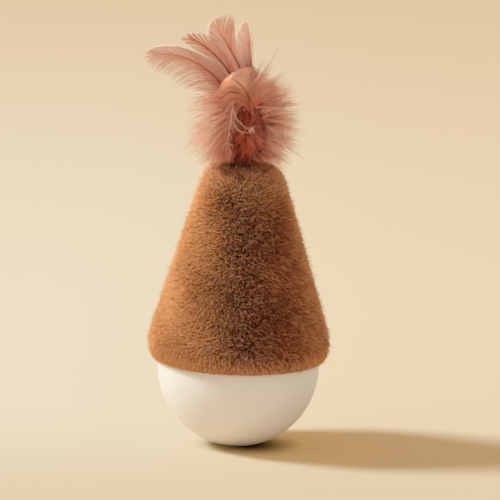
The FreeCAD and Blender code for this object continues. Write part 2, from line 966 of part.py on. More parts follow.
os.makedirs("parts", exist_ok=True)
for piece in pieces:
    piece.Shape.exportStep(f"parts/{piece.Label}.step")
    box = piece.Shape.BoundBox
    print(
        f"{piece.Label}: {len(piece.Shape.Solids)} solid, {piece.Shape.Volume:.1f} mm3, "
        f"X {box.XMin:.2f} {box.XMax:.2f}, Y {box.YMin:.2f} {box.YMax:.2f}, "
        f"Z {box.ZMin:.2f} {box.ZMax:.2f}"
    )
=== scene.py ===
import math

import bpy
import numpy as np
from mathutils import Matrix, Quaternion, Vector


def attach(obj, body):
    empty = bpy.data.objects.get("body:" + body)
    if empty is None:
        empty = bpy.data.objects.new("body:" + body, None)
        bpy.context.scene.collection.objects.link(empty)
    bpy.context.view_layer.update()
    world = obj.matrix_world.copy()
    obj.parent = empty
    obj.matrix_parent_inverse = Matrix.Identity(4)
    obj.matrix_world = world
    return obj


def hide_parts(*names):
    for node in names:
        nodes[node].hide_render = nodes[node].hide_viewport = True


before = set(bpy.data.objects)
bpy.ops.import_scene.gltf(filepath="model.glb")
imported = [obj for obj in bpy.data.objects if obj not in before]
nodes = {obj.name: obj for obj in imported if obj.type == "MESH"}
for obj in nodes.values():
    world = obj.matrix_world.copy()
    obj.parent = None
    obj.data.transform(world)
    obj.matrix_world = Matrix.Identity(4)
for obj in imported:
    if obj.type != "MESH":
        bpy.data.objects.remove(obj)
for startObject in ("Cube", "Light", "Camera"):
    if startObject in bpy.data.objects:
        bpy.data.objects.remove(bpy.data.objects[startObject])
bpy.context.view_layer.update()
mm = 0.001      # sizes below are in millimetres, Blender's are in metres
white = (1, 1, 1, 1)
print("frame loaded:", len(nodes), "nodes")


# Small tools that every piece uses

strandMap = dict(shade=(0.015, 0.985), spread=0.012, along=(0.004, 0.996))
tubePlan = dict(merge=0.00001, smoothAngle=50)
lineSamples = 160


def clearSelection():
    for item in bpy.context.selected_objects:
        item.select_set(False)


def finishObject(name, body, slot, material, *replaced):
    piece = bpy.context.object
    piece.name = name
    piece.data.name = name
    piece.data.materials.clear()
    piece.data.materials.append(material)
    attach(piece, body)
    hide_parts(*replaced)


def thicken(piece, **values):
    modifier = piece.modifiers.new("wall", "SOLIDIFY")
    for key, value in values.items():
        setattr(modifier, key, value)
    bpy.context.view_layer.objects.active = piece
    bpy.ops.object.modifier_apply(modifier=modifier.name)


def unit(vectors):
    return vectors / np.maximum(np.linalg.norm(vectors, axis=-1, keepdims=True), 1e-9)


def between(draw, limits, size=None):
    return draw.uniform(limits[0], limits[1], size)


def smoothStep(values, low, high):
    t = np.clip((values - low) / (high - low), 0, 1)
    return t * t * (3 - 2 * t)


def roundAbout(azimuths, radius, height):      # points on rings about the axis, azimuth 0 at the front
    return np.stack([np.sin(azimuths) * radius, -np.cos(azimuths) * radius, height], axis=-1)


def curveAt(controls, steps):      # smooth curves drawn by their control points, all strands at once
    t = np.asarray(steps)[None, :, None]
    rows = [control[:, None, :] for control in controls]
    while len(rows) > 1:
        rows = [a * (1 - t) + b * t for a, b in zip(rows, rows[1:])]
    return rows[0]


def smoothedRows(corners, axes, samples, rounds):
    # rows spaced evenly by the length of their first axes, with rounded corners
    lengths = np.r_[0, np.cumsum(np.linalg.norm(np.diff(corners[:, :axes], axis=0), axis=1))]
    steps = np.linspace(0, lengths[-1], samples)
    rows = np.stack([np.interp(steps, lengths, column) for column in corners.T], axis=1)
    for _ in range(rounds):
        rows[1:-1] = (rows[:-2] + rows[1:-1] * 2 + rows[2:]) / 4
    return steps, rows


def softLine(points, rounds):
    corners = np.array(points, float)
    return smoothedRows(corners, corners.shape[1], lineSamples, rounds)[1]


def lineAt(line, share):
    steps = np.linspace(0, 1, len(line))
    return np.stack([np.interp(share, steps, column) for column in line.T], axis=-1)


def softNoise(points, size, seed, waves=8):      # smooth variation, about -2 to 2
    draw = np.random.default_rng(seed)
    total = np.zeros(len(points))
    for _ in range(waves):
        direction = unit(draw.normal(size=3))
        length = size * draw.uniform(0.7, 1.5)
        total += np.cos(points @ direction * 2 * math.pi / length + draw.uniform(0, 2 * math.pi))
    return total / math.sqrt(waves / 2)


def strandPiece(name, paths, widths, shade, along, side=None):
    # closed three-sided strands: paths (strand, point, xyz) and widths in millimetres
    count, points = paths.shape[:2]
    rings = points - 1
    tangents = unit(np.gradient(paths, axis=1))
    if side is None:
        side = np.random.default_rng(count).normal(size=(count, 1, 3))
    across = unit(side - (side * tangents).sum(-1, keepdims=True) * tangents)
    lift = np.cross(tangents, across)
    angles = np.radians([210, 330, 450])
    half = 0.5 * widths[:, :-1, None, None]
    ring = paths[:, :-1, None, :] + half * (
        np.cos(angles)[:, None] * across[:, :-1, None, :] + np.sin(angles)[:, None] * lift[:, :-1, None, :])
    corners = np.concatenate([ring.reshape(count, rings * 3, 3), paths[:, -1:]], axis=1)

    faces = [(0, 2, 1)]
    for row in range(rings - 1):
        for corner in range(3):
            a, b = row * 3 + corner, row * 3 + (corner + 1) % 3
            faces += [(a, b, b + 3), (a, b + 3, a + 3)]
    last = (rings - 1) * 3
    faces += [(last, last + 1, last + 3), (last + 1, last + 2, last + 3), (last + 2, last, last + 3)]
    perStrand = rings * 3 + 1
    triangles = (np.array(faces)[None] + np.arange(count)[:, None, None] * perStrand).reshape(-1, 3)

    spread = strandMap["spread"] * (np.arange(perStrand) % 3 - 1.0)
    u = np.clip(shade, *strandMap["shade"])[:, None] + spread[None]
    v = np.concatenate([np.repeat(along[:, :-1], 3, axis=1), along[:, -1:]], axis=1)
    uv = np.stack([u, np.clip(v, *strandMap["along"])], axis=-1).reshape(-1, 2)

    mesh = bpy.data.meshes.new(name)
    mesh.vertices.add(len(uv))
    mesh.vertices.foreach_set("co", (corners * mm).astype(np.float32).ravel())
    mesh.loops.add(triangles.size)
    mesh.polygons.add(len(triangles))
    mesh.polygons.foreach_set("loop_start", np.arange(0, triangles.size, 3, dtype=np.int32))
    mesh.polygons.foreach_set("vertices", triangles.astype(np.int32).ravel())
    layer = mesh.uv_layers.new(name="OFBake")
    layer.uv.foreach_set("vector", uv[triangles.ravel()].astype(np.float32).ravel())
    mesh.update(calc_edges=True)
    mesh.shade_smooth()
    piece = bpy.data.objects.new(name, mesh)
    bpy.context.scene.collection.objects.link(piece)
    clearSelection()
    bpy.context.view_layer.objects.active = piece


def turnedTube(name, profile, sides):      # a ring drawn through (radius, height) rows
    clearSelection()
    radius, height = profile[0]
    bpy.ops.mesh.primitive_circle_add(vertices=sides, radius=radius * mm, location=(0, 0, height * mm))
    bpy.ops.object.transform_apply(location=True)
    bpy.ops.object.mode_set(mode="EDIT")
    bpy.ops.mesh.select_all(action="SELECT")
    for (r0, z0), (r1, z1) in zip(profile, profile[1:]):
        bpy.ops.mesh.extrude_region_move(TRANSFORM_OT_translate={"value": (0, 0, (z1 - z0) * mm)})
        bpy.ops.transform.resize(value=(r1 / r0, r1 / r0, 1), center_override=(0, 0, z1 * mm))
    bpy.ops.mesh.select_all(action="SELECT")
    bpy.ops.mesh.remove_doubles(threshold=tubePlan["merge"])
    bpy.ops.mesh.normals_make_consistent(inside=False)
    bpy.ops.object.mode_set(mode="OBJECT")
    piece = bpy.context.object
    piece.name = name
    bpy.ops.object.shade_smooth_by_angle(angle=math.radians(tubePlan["smoothAngle"]))
    return piece


def addNode(tree, kind, inputs=None, **settings):      # an input is a plain value or another node's output
    node = tree.nodes.new("ShaderNode" + kind)
    for key, value in settings.items():
        setattr(node, key, value)
    for key, value in (inputs or {}).items():
        if isinstance(value, bpy.types.NodeSocket):
            tree.links.new(value, node.inputs[key])
        else:
            node.inputs[key].default_value = value
    return node


def mixColour(tree, factor, first, second):
    return addNode(tree, "Mix", {0: factor, 6: first, 7: second}, data_type="RGBA").outputs[2]


def mapRange(tree, value, low, high, toLow=0.0, toHigh=1.0):
    inputs = {"Value": value, "From Min": low, "From Max": high, "To Min": toLow, "To Max": toHigh}
    return addNode(tree, "MapRange", inputs, interpolation_type="SMOOTHSTEP").outputs["Result"]


# Camera, light and floor

camera = dict(
    aim=(3.8, 0, 86.1), elevation=11.5, roll=1.5, lens=600, sensor=36, frameWidth=216.6, clipStart=0.01)
lights = dict(
    keySide=-90, keyBehind=5.5, keyElevation=37, keyLevel=0.73, keyAngle=14, keyColour=(0.88, 0.975, 1.0),
    fillLevel=0.64, fillColour=(1.0, 0.90, 0.80), backdrop=(0.755, 0.568, 0.363))
# the paper's colours: painted falloff of the light to the right and front, a painted contact shadow and a
# painted glow
floorPlan = dict(
    size=16, lean=0.9, leftSide=(0.534, 0.569, 0.525), rightSide=(0.515, 0.516, 0.445),
    front=(0.45, 0.45, 0.39), paintedGlow=(0.308, 0.150, 0.025), paintedContactShadow=(0.14, 0.08, 0.05),
    bounce=(0.93, 0.71, 0.50), contactShift=(0.005, -0.001, 0), contact=0.003, clear=0.026, fadeStart=0.25,
    fadeEnd=1.4, sideStart=-0.11, sideEnd=0.12, frontStart=-0.16, frontEnd=0.08)


def makeCamera():
    elevation = math.radians(camera["elevation"])
    back = Vector((0, -math.cos(elevation), math.sin(elevation)))
    distance = camera["frameWidth"] * camera["lens"] / camera["sensor"]
    bpy.ops.object.camera_add(location=(Vector(camera["aim"]) + back * distance) * mm)
    item = bpy.context.object
    item.name = "studioCamera"
    item.rotation_mode = "QUATERNION"
    roll = Quaternion((0, 0, 1), math.radians(camera["roll"]))
    item.rotation_quaternion = (-back).to_track_quat("-Z", "Y") @ roll
    item.data.lens = camera["lens"]
    item.data.sensor_width = camera["sensor"]
    item.data.clip_start = camera["clipStart"]
    bpy.context.scene.camera = item


def seenRays(tree):      # one for rays that see the backdrop itself
    path = addNode(tree, "LightPath").outputs
    rays = path["Is Camera Ray"]
    for other in ("Is Glossy Ray", "Is Transmission Ray"):
        rays = addNode(tree, "Math", {0: rays, 1: path[other]}, operation="MAXIMUM").outputs[0]
    return rays


def makeLights():
    side = math.radians(lights["keySide"] - lights["keyBehind"])
    up = math.radians(lights["keyElevation"])
    toLight = Vector((math.sin(side) * math.cos(up), -math.cos(side) * math.cos(up), math.sin(up)))
    bpy.ops.object.light_add(type="SUN", location=toLight)
    sun = bpy.context.object
    sun.name = "keyLight"
    sun.rotation_mode = "QUATERNION"
    sun.rotation_quaternion = toLight.to_track_quat("Z", "Y")
    sun.data.energy = lights["keyLevel"] * math.pi
    sun.data.angle = math.radians(lights["keyAngle"])
    sun.data.color = lights["keyColour"]

    world = bpy.data.worlds.new("studio")
    world.use_nodes = True
    tree = world.node_tree
    tree.nodes.clear()
    fill = addNode(tree, "Background", dict(Color=(*lights["fillColour"], 1), Strength=lights["fillLevel"]))
    seen = addNode(tree, "Background", dict(Color=(*lights["backdrop"], 1)))
    mix = addNode(tree, "MixShader", {0: seenRays(tree), 1: fill.outputs[0], 2: seen.outputs[0]})
    addNode(tree, "OutputWorld", dict(Surface=mix.outputs[0]))
    bpy.context.scene.world = world


def makeFloor():
    plan = floorPlan
    bpy.ops.mesh.primitive_plane_add(size=plan["size"])
    floor = bpy.context.object
    floor.name = "studioFloor"
    material = bpy.data.materials.new("studioPaper")
    material.use_nodes = True
    tree = material.node_tree
    tree.nodes.clear()
    place = addNode(tree, "TexCoord").outputs["Object"]
    radius = addNode(tree, "VectorMath", {0: place}, operation="LENGTH").outputs["Value"]
    # the paper darkens round the toy's contact point: a painted contact shadow
    contact = addNode(tree, "VectorMath", {0: place, 1: plan["contactShift"]}, operation="DISTANCE")
    near = mapRange(tree, contact.outputs["Value"], plan["contact"], plan["clear"])
    # the paper is painted darker to the right and towards the front: painted falloff of the light
    axes = addNode(tree, "SeparateXYZ", {0: place}).outputs
    side = mapRange(tree, axes["X"], plan["sideStart"], plan["sideEnd"])
    back = mapRange(tree, axes["Y"], plan["frontStart"], plan["frontEnd"])
    paper = mixColour(tree, side, (*plan["leftSide"], 1), (*plan["rightSide"], 1))
    paper = mixColour(tree, back, (*plan["front"], 1), paper)
    paper = mixColour(tree, near, (*plan["paintedContactShadow"], 1), paper)
    # paper that leans to the lamp shows a deeper shadow
    facing = addNode(tree, "CombineXYZ", dict(X=-math.sin(plan["lean"]), Z=math.cos(plan["lean"])))
    lit = addNode(tree, "BsdfDiffuse", dict(Color=paper, Normal=facing.outputs[0]))
    # the paper glows a little for the camera: painted light that lifts its shadows, fading out at the contact
    paintedGlow = addNode(tree, "Emission", dict(Color=(*plan["paintedGlow"], 1), Strength=near))
    both = addNode(tree, "AddShader", {0: lit.outputs[0], 1: paintedGlow.outputs[0]})
    far = addNode(tree, "Emission", dict(Color=(*lights["backdrop"], 1)))
    faded = mapRange(tree, radius, plan["fadeStart"], plan["fadeEnd"])
    seen = addNode(tree, "MixShader", {0: faded, 1: both.outputs[0], 2: far.outputs[0]})
    bounce = addNode(tree, "BsdfDiffuse", dict(Color=(*plan["bounce"], 1)))
    choose = addNode(tree, "MixShader", {0: seenRays(tree), 1: bounce.outputs[0], 2: seen.outputs[0]})
    addNode(tree, "OutputMaterial", dict(Surface=choose.outputs[0]))
    floor.data.materials.append(material)


makeCamera()
makeLights()
clearSelection()
makeFloor()
bpy.context.scene.view_settings.view_transform = "Standard"
print("camera, light and floor ready")


# Materials

toneNames = ("Dark Root", "Light Root", "Dark Tip", "Light Tip", "Frost")
toneRanges = dict(shade=(0.02, 0.82), frost=(0.84, 0.88))
grainRanges = dict(cloud=(0.35, 0.7), grain=(0.3, 0.7, -1.0, 1.0))


def newMaterial(name, roughness, **constants):
    material = bpy.data.materials.new(name)
    material.use_nodes = True
    shader = material.node_tree.nodes["Principled BSDF"]
    shader.inputs["Roughness"].default_value = roughness
    for socket, value in constants.items():
        shader.inputs[socket.replace("_", " ")].default_value = value
    return material, material.node_tree, shader


def newGroup(name, inputs, outputs):      # colours have a white start value, the other inputs a number
    tree = bpy.data.node_groups.new(name, "ShaderNodeTree")
    for socket, value in inputs.items():
        kind = "NodeSocketColor" if value == white else "NodeSocketFloat"
        tree.interface.new_socket(socket, in_out="INPUT", socket_type=kind).default_value = value
    for socket in outputs:
        kind = "NodeSocketColor" if socket == "Colour" else "NodeSocketFloat"
        tree.interface.new_socket(socket, in_out="OUTPUT", socket_type=kind)
    return tree, tree.nodes.new("NodeGroupInput").outputs, tree.nodes.new("NodeGroupOutput").inputs


def makeStrandTone():
    # the colour of a hair or barb from its own map: u picks its shade, v runs from root to tip
    inputs = {"Shade": 0.5, "Along": 0.5, "Root End": 0.1, "Tip Start": 0.8}
    inputs.update(dict.fromkeys(toneNames, white))
    tree, put, out = newGroup("strandTone", inputs, ["Colour"])
    shade = mapRange(tree, put["Shade"], *toneRanges["shade"])
    frost = mapRange(tree, put["Shade"], *toneRanges["frost"])
    ramp = mapRange(tree, put["Along"], put["Root End"], put["Tip Start"])
    root = mixColour(tree, shade, put["Dark Root"], put["Light Root"])
    tip = mixColour(tree, shade, put["Dark Tip"], put["Light Tip"])
    frosted = mixColour(tree, frost, tip, put["Frost"])
    tree.links.new(mixColour(tree, ramp, root, frosted), out["Colour"])
    return tree


def makeFineGrain():
    # moulded, cast or woven unevenness: a colour shift, a roughness shift and a height
    inputs = {"Base": white, "Worn": white, "Grain Scale": 400.0, "Cloud Scale": 40.0, "Roughness": 0.4,
              "Spread": 0.1}
    tree, put, out = newGroup("fineGrain", inputs, ["Colour", "Roughness", "Height"])
    place = addNode(tree, "TexCoord").outputs["Object"]
    grain, cloud = (
        addNode(tree, "TexNoise", dict(Vector=place, Scale=put[scale], Detail=detail)).outputs["Fac"]
        for scale, detail in (("Grain Scale", 3), ("Cloud Scale", 4)))
    worn = mapRange(tree, cloud, *grainRanges["cloud"])
    centred = mapRange(tree, grain, *grainRanges["grain"])
    shifted = {0: centred, 1: put["Spread"], 2: put["Roughness"]}
    shift = addNode(tree, "Math", shifted, operation="MULTIPLY_ADD")
    tree.links.new(mixColour(tree, worn, put["Base"], put["Worn"]), out["Colour"])
    tree.links.new(shift.outputs[0], out["Roughness"])
    tree.links.new(grain, out["Height"])
    return tree


strandTone = makeStrandTone()
fineGrain = makeFineGrain()


def strandMaterial(name, roughness, tones, rootEnd, tipStart, **constants):
    material, tree, shader = newMaterial(name, roughness, **constants)
    uv = addNode(tree, "UVMap", uv_map="OFBake")
    place = addNode(tree, "SeparateXYZ", {0: uv.outputs[0]}).outputs
    inputs = {socket: (*value, 1) for socket, value in zip(toneNames, tones)}
    inputs.update({"Shade": place[0], "Along": place[1], "Root End": rootEnd, "Tip Start": tipStart})
    tone = addNode(tree, "Group", inputs, node_tree=strandTone)
    tree.links.new(tone.outputs["Colour"], shader.inputs["Base Color"])
    return material


def grainMaterial(name, base, worn, roughness, spread, scales, bump, bumpDepth, **constants):
    material, tree, shader = newMaterial(name, roughness, **constants)
    inputs = {"Base": (*base, 1), "Worn": (*worn, 1), "Grain Scale": scales[0], "Cloud Scale": scales[1],
              "Roughness": roughness, "Spread": spread}
    grain = addNode(tree, "Group", inputs, node_tree=fineGrain).outputs
    bumps = addNode(tree, "Bump", dict(Strength=bump, Distance=bumpDepth * mm, Height=grain["Height"]))
    tree.links.new(grain["Colour"], shader.inputs["Base Color"])
    tree.links.new(grain["Roughness"], shader.inputs["Roughness"])
    tree.links.new(bumps.outputs[0], shader.inputs["Normal"])
    return material


bowlPlastic = grainMaterial(
    "bowlPlastic", (0.81, 0.83, 0.82), (0.79, 0.81, 0.795), 0.42, 0.04, (900, 30), 0.15, 0.02)
corePlastic = grainMaterial(
    "corePlastic", (0.62, 0.60, 0.56), (0.58, 0.56, 0.52), 0.55, 0.05, (1200, 60), 0.2, 0.02)
castSlug = grainMaterial(
    "castSlug", (0.045, 0.042, 0.04), (0.09, 0.07, 0.055), 0.7, 0.1, (700, 90), 0.8, 0.15, Metallic=0.9)
screwSteel = grainMaterial(
    "screwSteel", (0.50, 0.50, 0.52), (0.42, 0.41, 0.42), 0.3, 0.08, (2500, 300), 0.1, 0.01, Metallic=1.0)
grommetRubber = grainMaterial(
    "grommetRubber", (0.02, 0.02, 0.02), (0.035, 0.033, 0.03), 0.75, 0.08, (1500, 150), 0.3, 0.03)
socketPlastic = grainMaterial(
    "socketPlastic", (0.15, 0.050, 0.034), (0.12, 0.040, 0.028), 0.45, 0.05, (1500, 200), 0.15, 0.02)
foam = grainMaterial("foam", (0.72, 0.68, 0.56), (0.66, 0.61, 0.48), 0.9, 0.05, (2200, 120), 1.0, 0.25)
plushBacking = grainMaterial(
    "plushBacking", (0.13, 0.05, 0.022), (0.10, 0.038, 0.016), 0.9, 0.05, (3000, 200), 0.8, 0.1)
tapeWeave = grainMaterial(
    "tapeWeave", (0.20, 0.09, 0.04), (0.15, 0.06, 0.03), 0.85, 0.05, (2600, 200), 0.8, 0.12)
dyedThread = grainMaterial(
    "dyedThread", (0.30, 0.07, 0.04), (0.22, 0.05, 0.03), 0.7, 0.08, (4000, 300), 0.5, 0.05)
pile = strandMaterial(
    "plushPile", 0.62,
    [(0.26, 0.038, 0.012), (0.84, 0.31, 0.11), (0.44, 0.078, 0.024), (1.0, 0.56, 0.24), (0.95, 0.60, 0.45)],
    0.1, 0.80)
featherBarbs = strandMaterial(
    "featherBarbs", 0.55,
    [(0.84, 0.27, 0.17), (1.0, 0.55, 0.41), (0.96, 0.42, 0.30), (1.0, 0.73, 0.58), (1.0, 0.84, 0.72)],
    0.0, 0.9, Specular_IOR_Level=0.3)
downBarbs = strandMaterial(
    "downBarbs", 0.6,
    [(0.52, 0.075, 0.030), (1.0, 0.32, 0.20), (1.0, 0.36, 0.22), (1.0, 0.75, 0.59), (1.0, 0.88, 0.76)],
    0.2, 0.95, Specular_IOR_Level=0.15)
# the curled feather's barbs: a more orange copy of the feather colours, painted warm bounce light on the
# feather nearest the front
curledBarbs = strandMaterial(
    "curledBarbs", 0.55,
    [(0.70, 0.20, 0.12), (0.92, 0.43, 0.29), (1.0, 0.42, 0.27), (1.0, 0.63, 0.45), (1.0, 0.80, 0.62)],
    0.0, 0.9, Specular_IOR_Level=0.2)
quillHorn = strandMaterial(
    "quillHorn", 0.4,
    [(0.16, 0.035, 0.015), (0.42, 0.13, 0.07), (0.26, 0.06, 0.03), (0.80, 0.38, 0.26), (0.86, 0.55, 0.42)],
    0.45, 0.95)
print("materials ready")


# Bowl, core, slug and fasteners keep their frame meshes and get their finishes

finishes = dict(
    base_bowl=bowlPlastic, ballast_weight=castSlug, ballast_washer=screwSteel, ballast_screw=screwSteel,
    joint_plate=corePlastic, plate_screws=screwSteel, cone_core=corePlastic, socket_cap=corePlastic,
    cap_screws=screwSteel, rubber_grommet=grommetRubber, swivel_bead=socketPlastic, plume_peg=socketPlastic)
for nodeName, material in finishes.items():
    nodes[nodeName].data.materials.clear()
    nodes[nodeName].data.materials.append(material)


# Foam sleeve and hem tape

sleevePlan = dict(low=(33.35, 44.02), high=(11.2, 118.8), wall=2.0, sides=96, rows=12, swell=0.12)
tapePlan = dict(radius=35.2, low=38.2, high=42.8, wall=0.4, sides=160, rows=5, wave=0.03)


def makeSleeve():
    plan = sleevePlan
    rows = []
    for step in range(plan["rows"] + 1):
        t = step / plan["rows"]
        radius, height = (a + (b - a) * t for a, b in zip(plan["low"], plan["high"]))
        rows.append((radius + plan["swell"] * math.sin(math.pi * t), height))
    piece = turnedTube("foamSleeve", rows, plan["sides"])
    thicken(piece, thickness=plan["wall"] * mm, offset=1, use_even_offset=True)
    finishObject("foamSleeve", "base", "foam", foam, "padding_sleeve")


def makeTape():
    plan = tapePlan
    step = (plan["high"] - plan["low"]) / plan["rows"]
    rows = [(plan["radius"] + plan["wave"] * (row % 2), plan["low"] + row * step)
            for row in range(plan["rows"] + 1)]
    thicken(turnedTube("hemTape", rows, plan["sides"]), thickness=plan["wall"] * mm, offset=1)
    finishObject("hemTape", "base", "tape_weave", tapeWeave, "hem_tape")


makeSleeve()
makeTape()
print("sleeve and tape ready")


# Plush skirt and crown: a knitted backing with a pile of separate hairs
# rows: radius and height of the backing, then of the hair tips that grow there, from hem to crown

plush = dict(
    rows=[
        (35.9, 39.0, 36.9, 38.35), (36.5, 40.2, 38.3, 39.4), (36.8, 42.5, 39.4, 42.2),
        (36.6, 45.0, 39.7, 45.4), (35.2, 49.0, 39.2, 49.6), (16.6, 112.0, 20.2, 113.2),
        (15.8, 115.4, 18.9, 117.2), (14.2, 118.4, 17.3, 120.7), (12.2, 120.4, 15.2, 123.2),
        (9.0, 121.3, 10.4, 124.2), (6.6, 121.5, 6.7, 122.4)],
    wall=0.8, sides=96, crownStart=12.3, sectors=8, seed=41, flow=0.5, nap=0.7, hemNap=2.2, hemTop=54,
    fringe=1.5, strays=0.07, samples=400, rounds=40, rowStep=16, stitchJitter=0.4, napCloud=0.4,
    napNoise=(22, 22), sideNoise=(26, 21), sizeSpread=0.06, margin=0.05, tipSpread=0.15, hemSpread=0.8,
    strayLength=(1.1, 1.5), fringeRise=3, waveSpread=0.22, stand=0.55, stepEase=0.8,
    taper=((0, 0.75, 1), (1, 0.85, 0)), widthSpread=(0.8, 1.2), tuftTone=0.19, shadeLimits=(0.03, 0.82),
    crownHeight=118,
    coats=dict(
        Under=dict(
            pitch=0.64, hairs=3, points=2, width=0.24, length=(0.68, 0.92), gather=0.0, spread=0.28,
            swirl=0.3, tone=-0.02),
        Wisp=dict(
            pitch=0.70, hairs=3, points=3, width=0.175, length=(0.86, 1.06), gather=0.75, spread=0.26,
            swirl=0.6, tone=0.04)))
# the pile's tone: golden, with a patch of painted shade on the side away from the key light (less of it on
# the crown), painted light round the hem and painted shade in the crown's hollow round the plume
patchPlan = dict(
    azimuth=32, half=47, depth=0.50, golden=0.82, crownLift=0.5, hemPaintedLight=0.22, heart=0.7,
    heartPlace=(-1.0, -3.5), heartStart=7.5, heartEnd=9.8, crownRise=(96, 118), hemRise=(39, 48),
    heartRise=(116.5, 118.5), heartEdge=0.8, heartNoise=(6, 13), cloud=0.05, cloudNoise=((18, 11), (5, 12)),
    hairTone=0.11, edge=3)
# the front seam's band: its pile stands up and swirls, with a little painted shade and pale tips painted as
# highlights; the lips at the crown and hem get lighter tufts, painted light
bandPlan = dict(
    offset=1.5, halfTop=5.0, halfBottom=12, nap=-0.6, swirl=0.8, shade=-0.05, frost=0.26, lip=0.6,
    hemLip=0.35, height=80, frostTone=(0.9, 0.98), lipRise=(109, 115), lipFall=(120.4, 121.2),
    hemRise=(40, 49), lipTone=(0.845, 0.875))
strayPlan = dict(
    hairs=1150, radius=(7.2, 12.5), foot=120.8, length=(2.6, 5.6), curl=1.1, points=6, width=0.13, pale=0.45,
    seed=45, rise=0.6, bow=0.4, aimUp=0.9, aimOut=0.5, aimSpread=0.45, taper=((0, 0.7, 1), (1, 0.9, 0.3)),
    paleTone=(0.66, 0.88), darkTone=(0.03, 0.4))

lineSteps, lineRows = smoothedRows(np.array(plush["rows"]), 2, plush["samples"], plush["rounds"])
lineTangents = unit(np.gradient(lineRows[:, :2], axis=0))


def turnedPoints(lengths, azimuths, column):      # column 0 is the backing, 2 the hair tips
    radius = np.interp(lengths, lineSteps, lineRows[:, column])
    height = np.interp(lengths, lineSteps, lineRows[:, column + 1])
    return roundAbout(azimuths, radius, height)


def backingNormals(lengths, azimuths):
    tangentR = np.interp(lengths, lineSteps, lineTangents[:, 0])
    tangentZ = np.interp(lengths, lineSteps, lineTangents[:, 1])
    return unit(roundAbout(azimuths, tangentZ, -tangentR))


def makeBacking():
    rows = [tuple(row[:2]) for row in lineRows[::plush["rowStep"]]] + [tuple(lineRows[-1, :2])]
    piece = turnedTube("plushBacking", rows, plush["sides"])
    thicken(piece, thickness=plush["wall"] * mm, offset=-1, use_even_offset=True)
    finishObject("plushBacking", "base", "brown_plush", plushBacking,
                 "plush_panel_left", "plush_panel_right", "plush_crown")


def wrapAngle(angles):
    return (angles + math.pi) % (2 * math.pi) - math.pi


def seamBand(azimuths, radius, height):      # 1 on the front seam, 0 away from it
    share = np.clip((height - lineRows[0, 1]) / bandPlan["height"], 0, 1)
    half = bandPlan["halfBottom"] * (1 - share) + bandPlan["halfTop"] * share
    offset = wrapAngle(azimuths) * radius
    return np.exp(-((offset - bandPlan["offset"]) / half) ** 2)


def crownHollowShade(places):      # 1 on the crown round the plume, the hollow that gets painted shade
    plan = patchPlan
    away = np.linalg.norm(places[:, :2] - np.array(plan["heartPlace"]), axis=1)
    away = away + plan["heartEdge"] * softNoise(places, *plan["heartNoise"])
    inside = 1 - smoothStep(away, plan["heartStart"], plan["heartEnd"])
    return smoothStep(places[:, 2], *plan["heartRise"]) * inside


def pileTone(azimuths, places, draw):
    # golden all round, with a darker, redder patch of painted shade on the right of the front, the side away
    # from the key light; painted light makes the hem lighter, painted shade darkens the crown's hollow round
    # the plume, and the tone varies at random
    plan = patchPlan
    away = np.degrees(wrapAngle(azimuths - math.radians(plan["azimuth"])))
    paintedShade = plan["depth"] * np.exp(-np.abs(away / plan["half"]) ** plan["edge"])
    paintedShade *= 1 - plan["crownLift"] * smoothStep(places[:, 2], *plan["crownRise"])
    paintedShade -= plan["hemPaintedLight"] * (1 - smoothStep(places[:, 2], *plan["hemRise"]))
    paintedShade += plan["heart"] * crownHollowShade(places)
    cloud = sum(plan["cloud"] * softNoise(places, size, seed) for size, seed in plan["cloudNoise"])
    return plan["golden"] - paintedShade + cloud + draw.normal(0, plan["hairTone"], len(azimuths))


def tuftGrid(draw, pitch):      # one wisp in each stitch of the knit, row by row
    jitter = plush["stitchJitter"]
    lengths, angles = [], []
    rows = int(lineSteps[-1] / pitch)
    for row in range(rows):
        middle = (row + 0.5) / rows * lineSteps[-1]
        radius = np.interp(middle, lineSteps, lineRows[:, 0])
        count = int(2 * math.pi * radius / pitch)
        lengths.append(middle + draw.uniform(-jitter, jitter, count) * pitch)
        turn = (np.arange(count) + 0.5 * (row % 2) + draw.uniform(-jitter, jitter, count)) / count
        angles.append(turn * 2 * math.pi - math.pi)
    return np.concatenate(lengths), np.concatenate(angles)


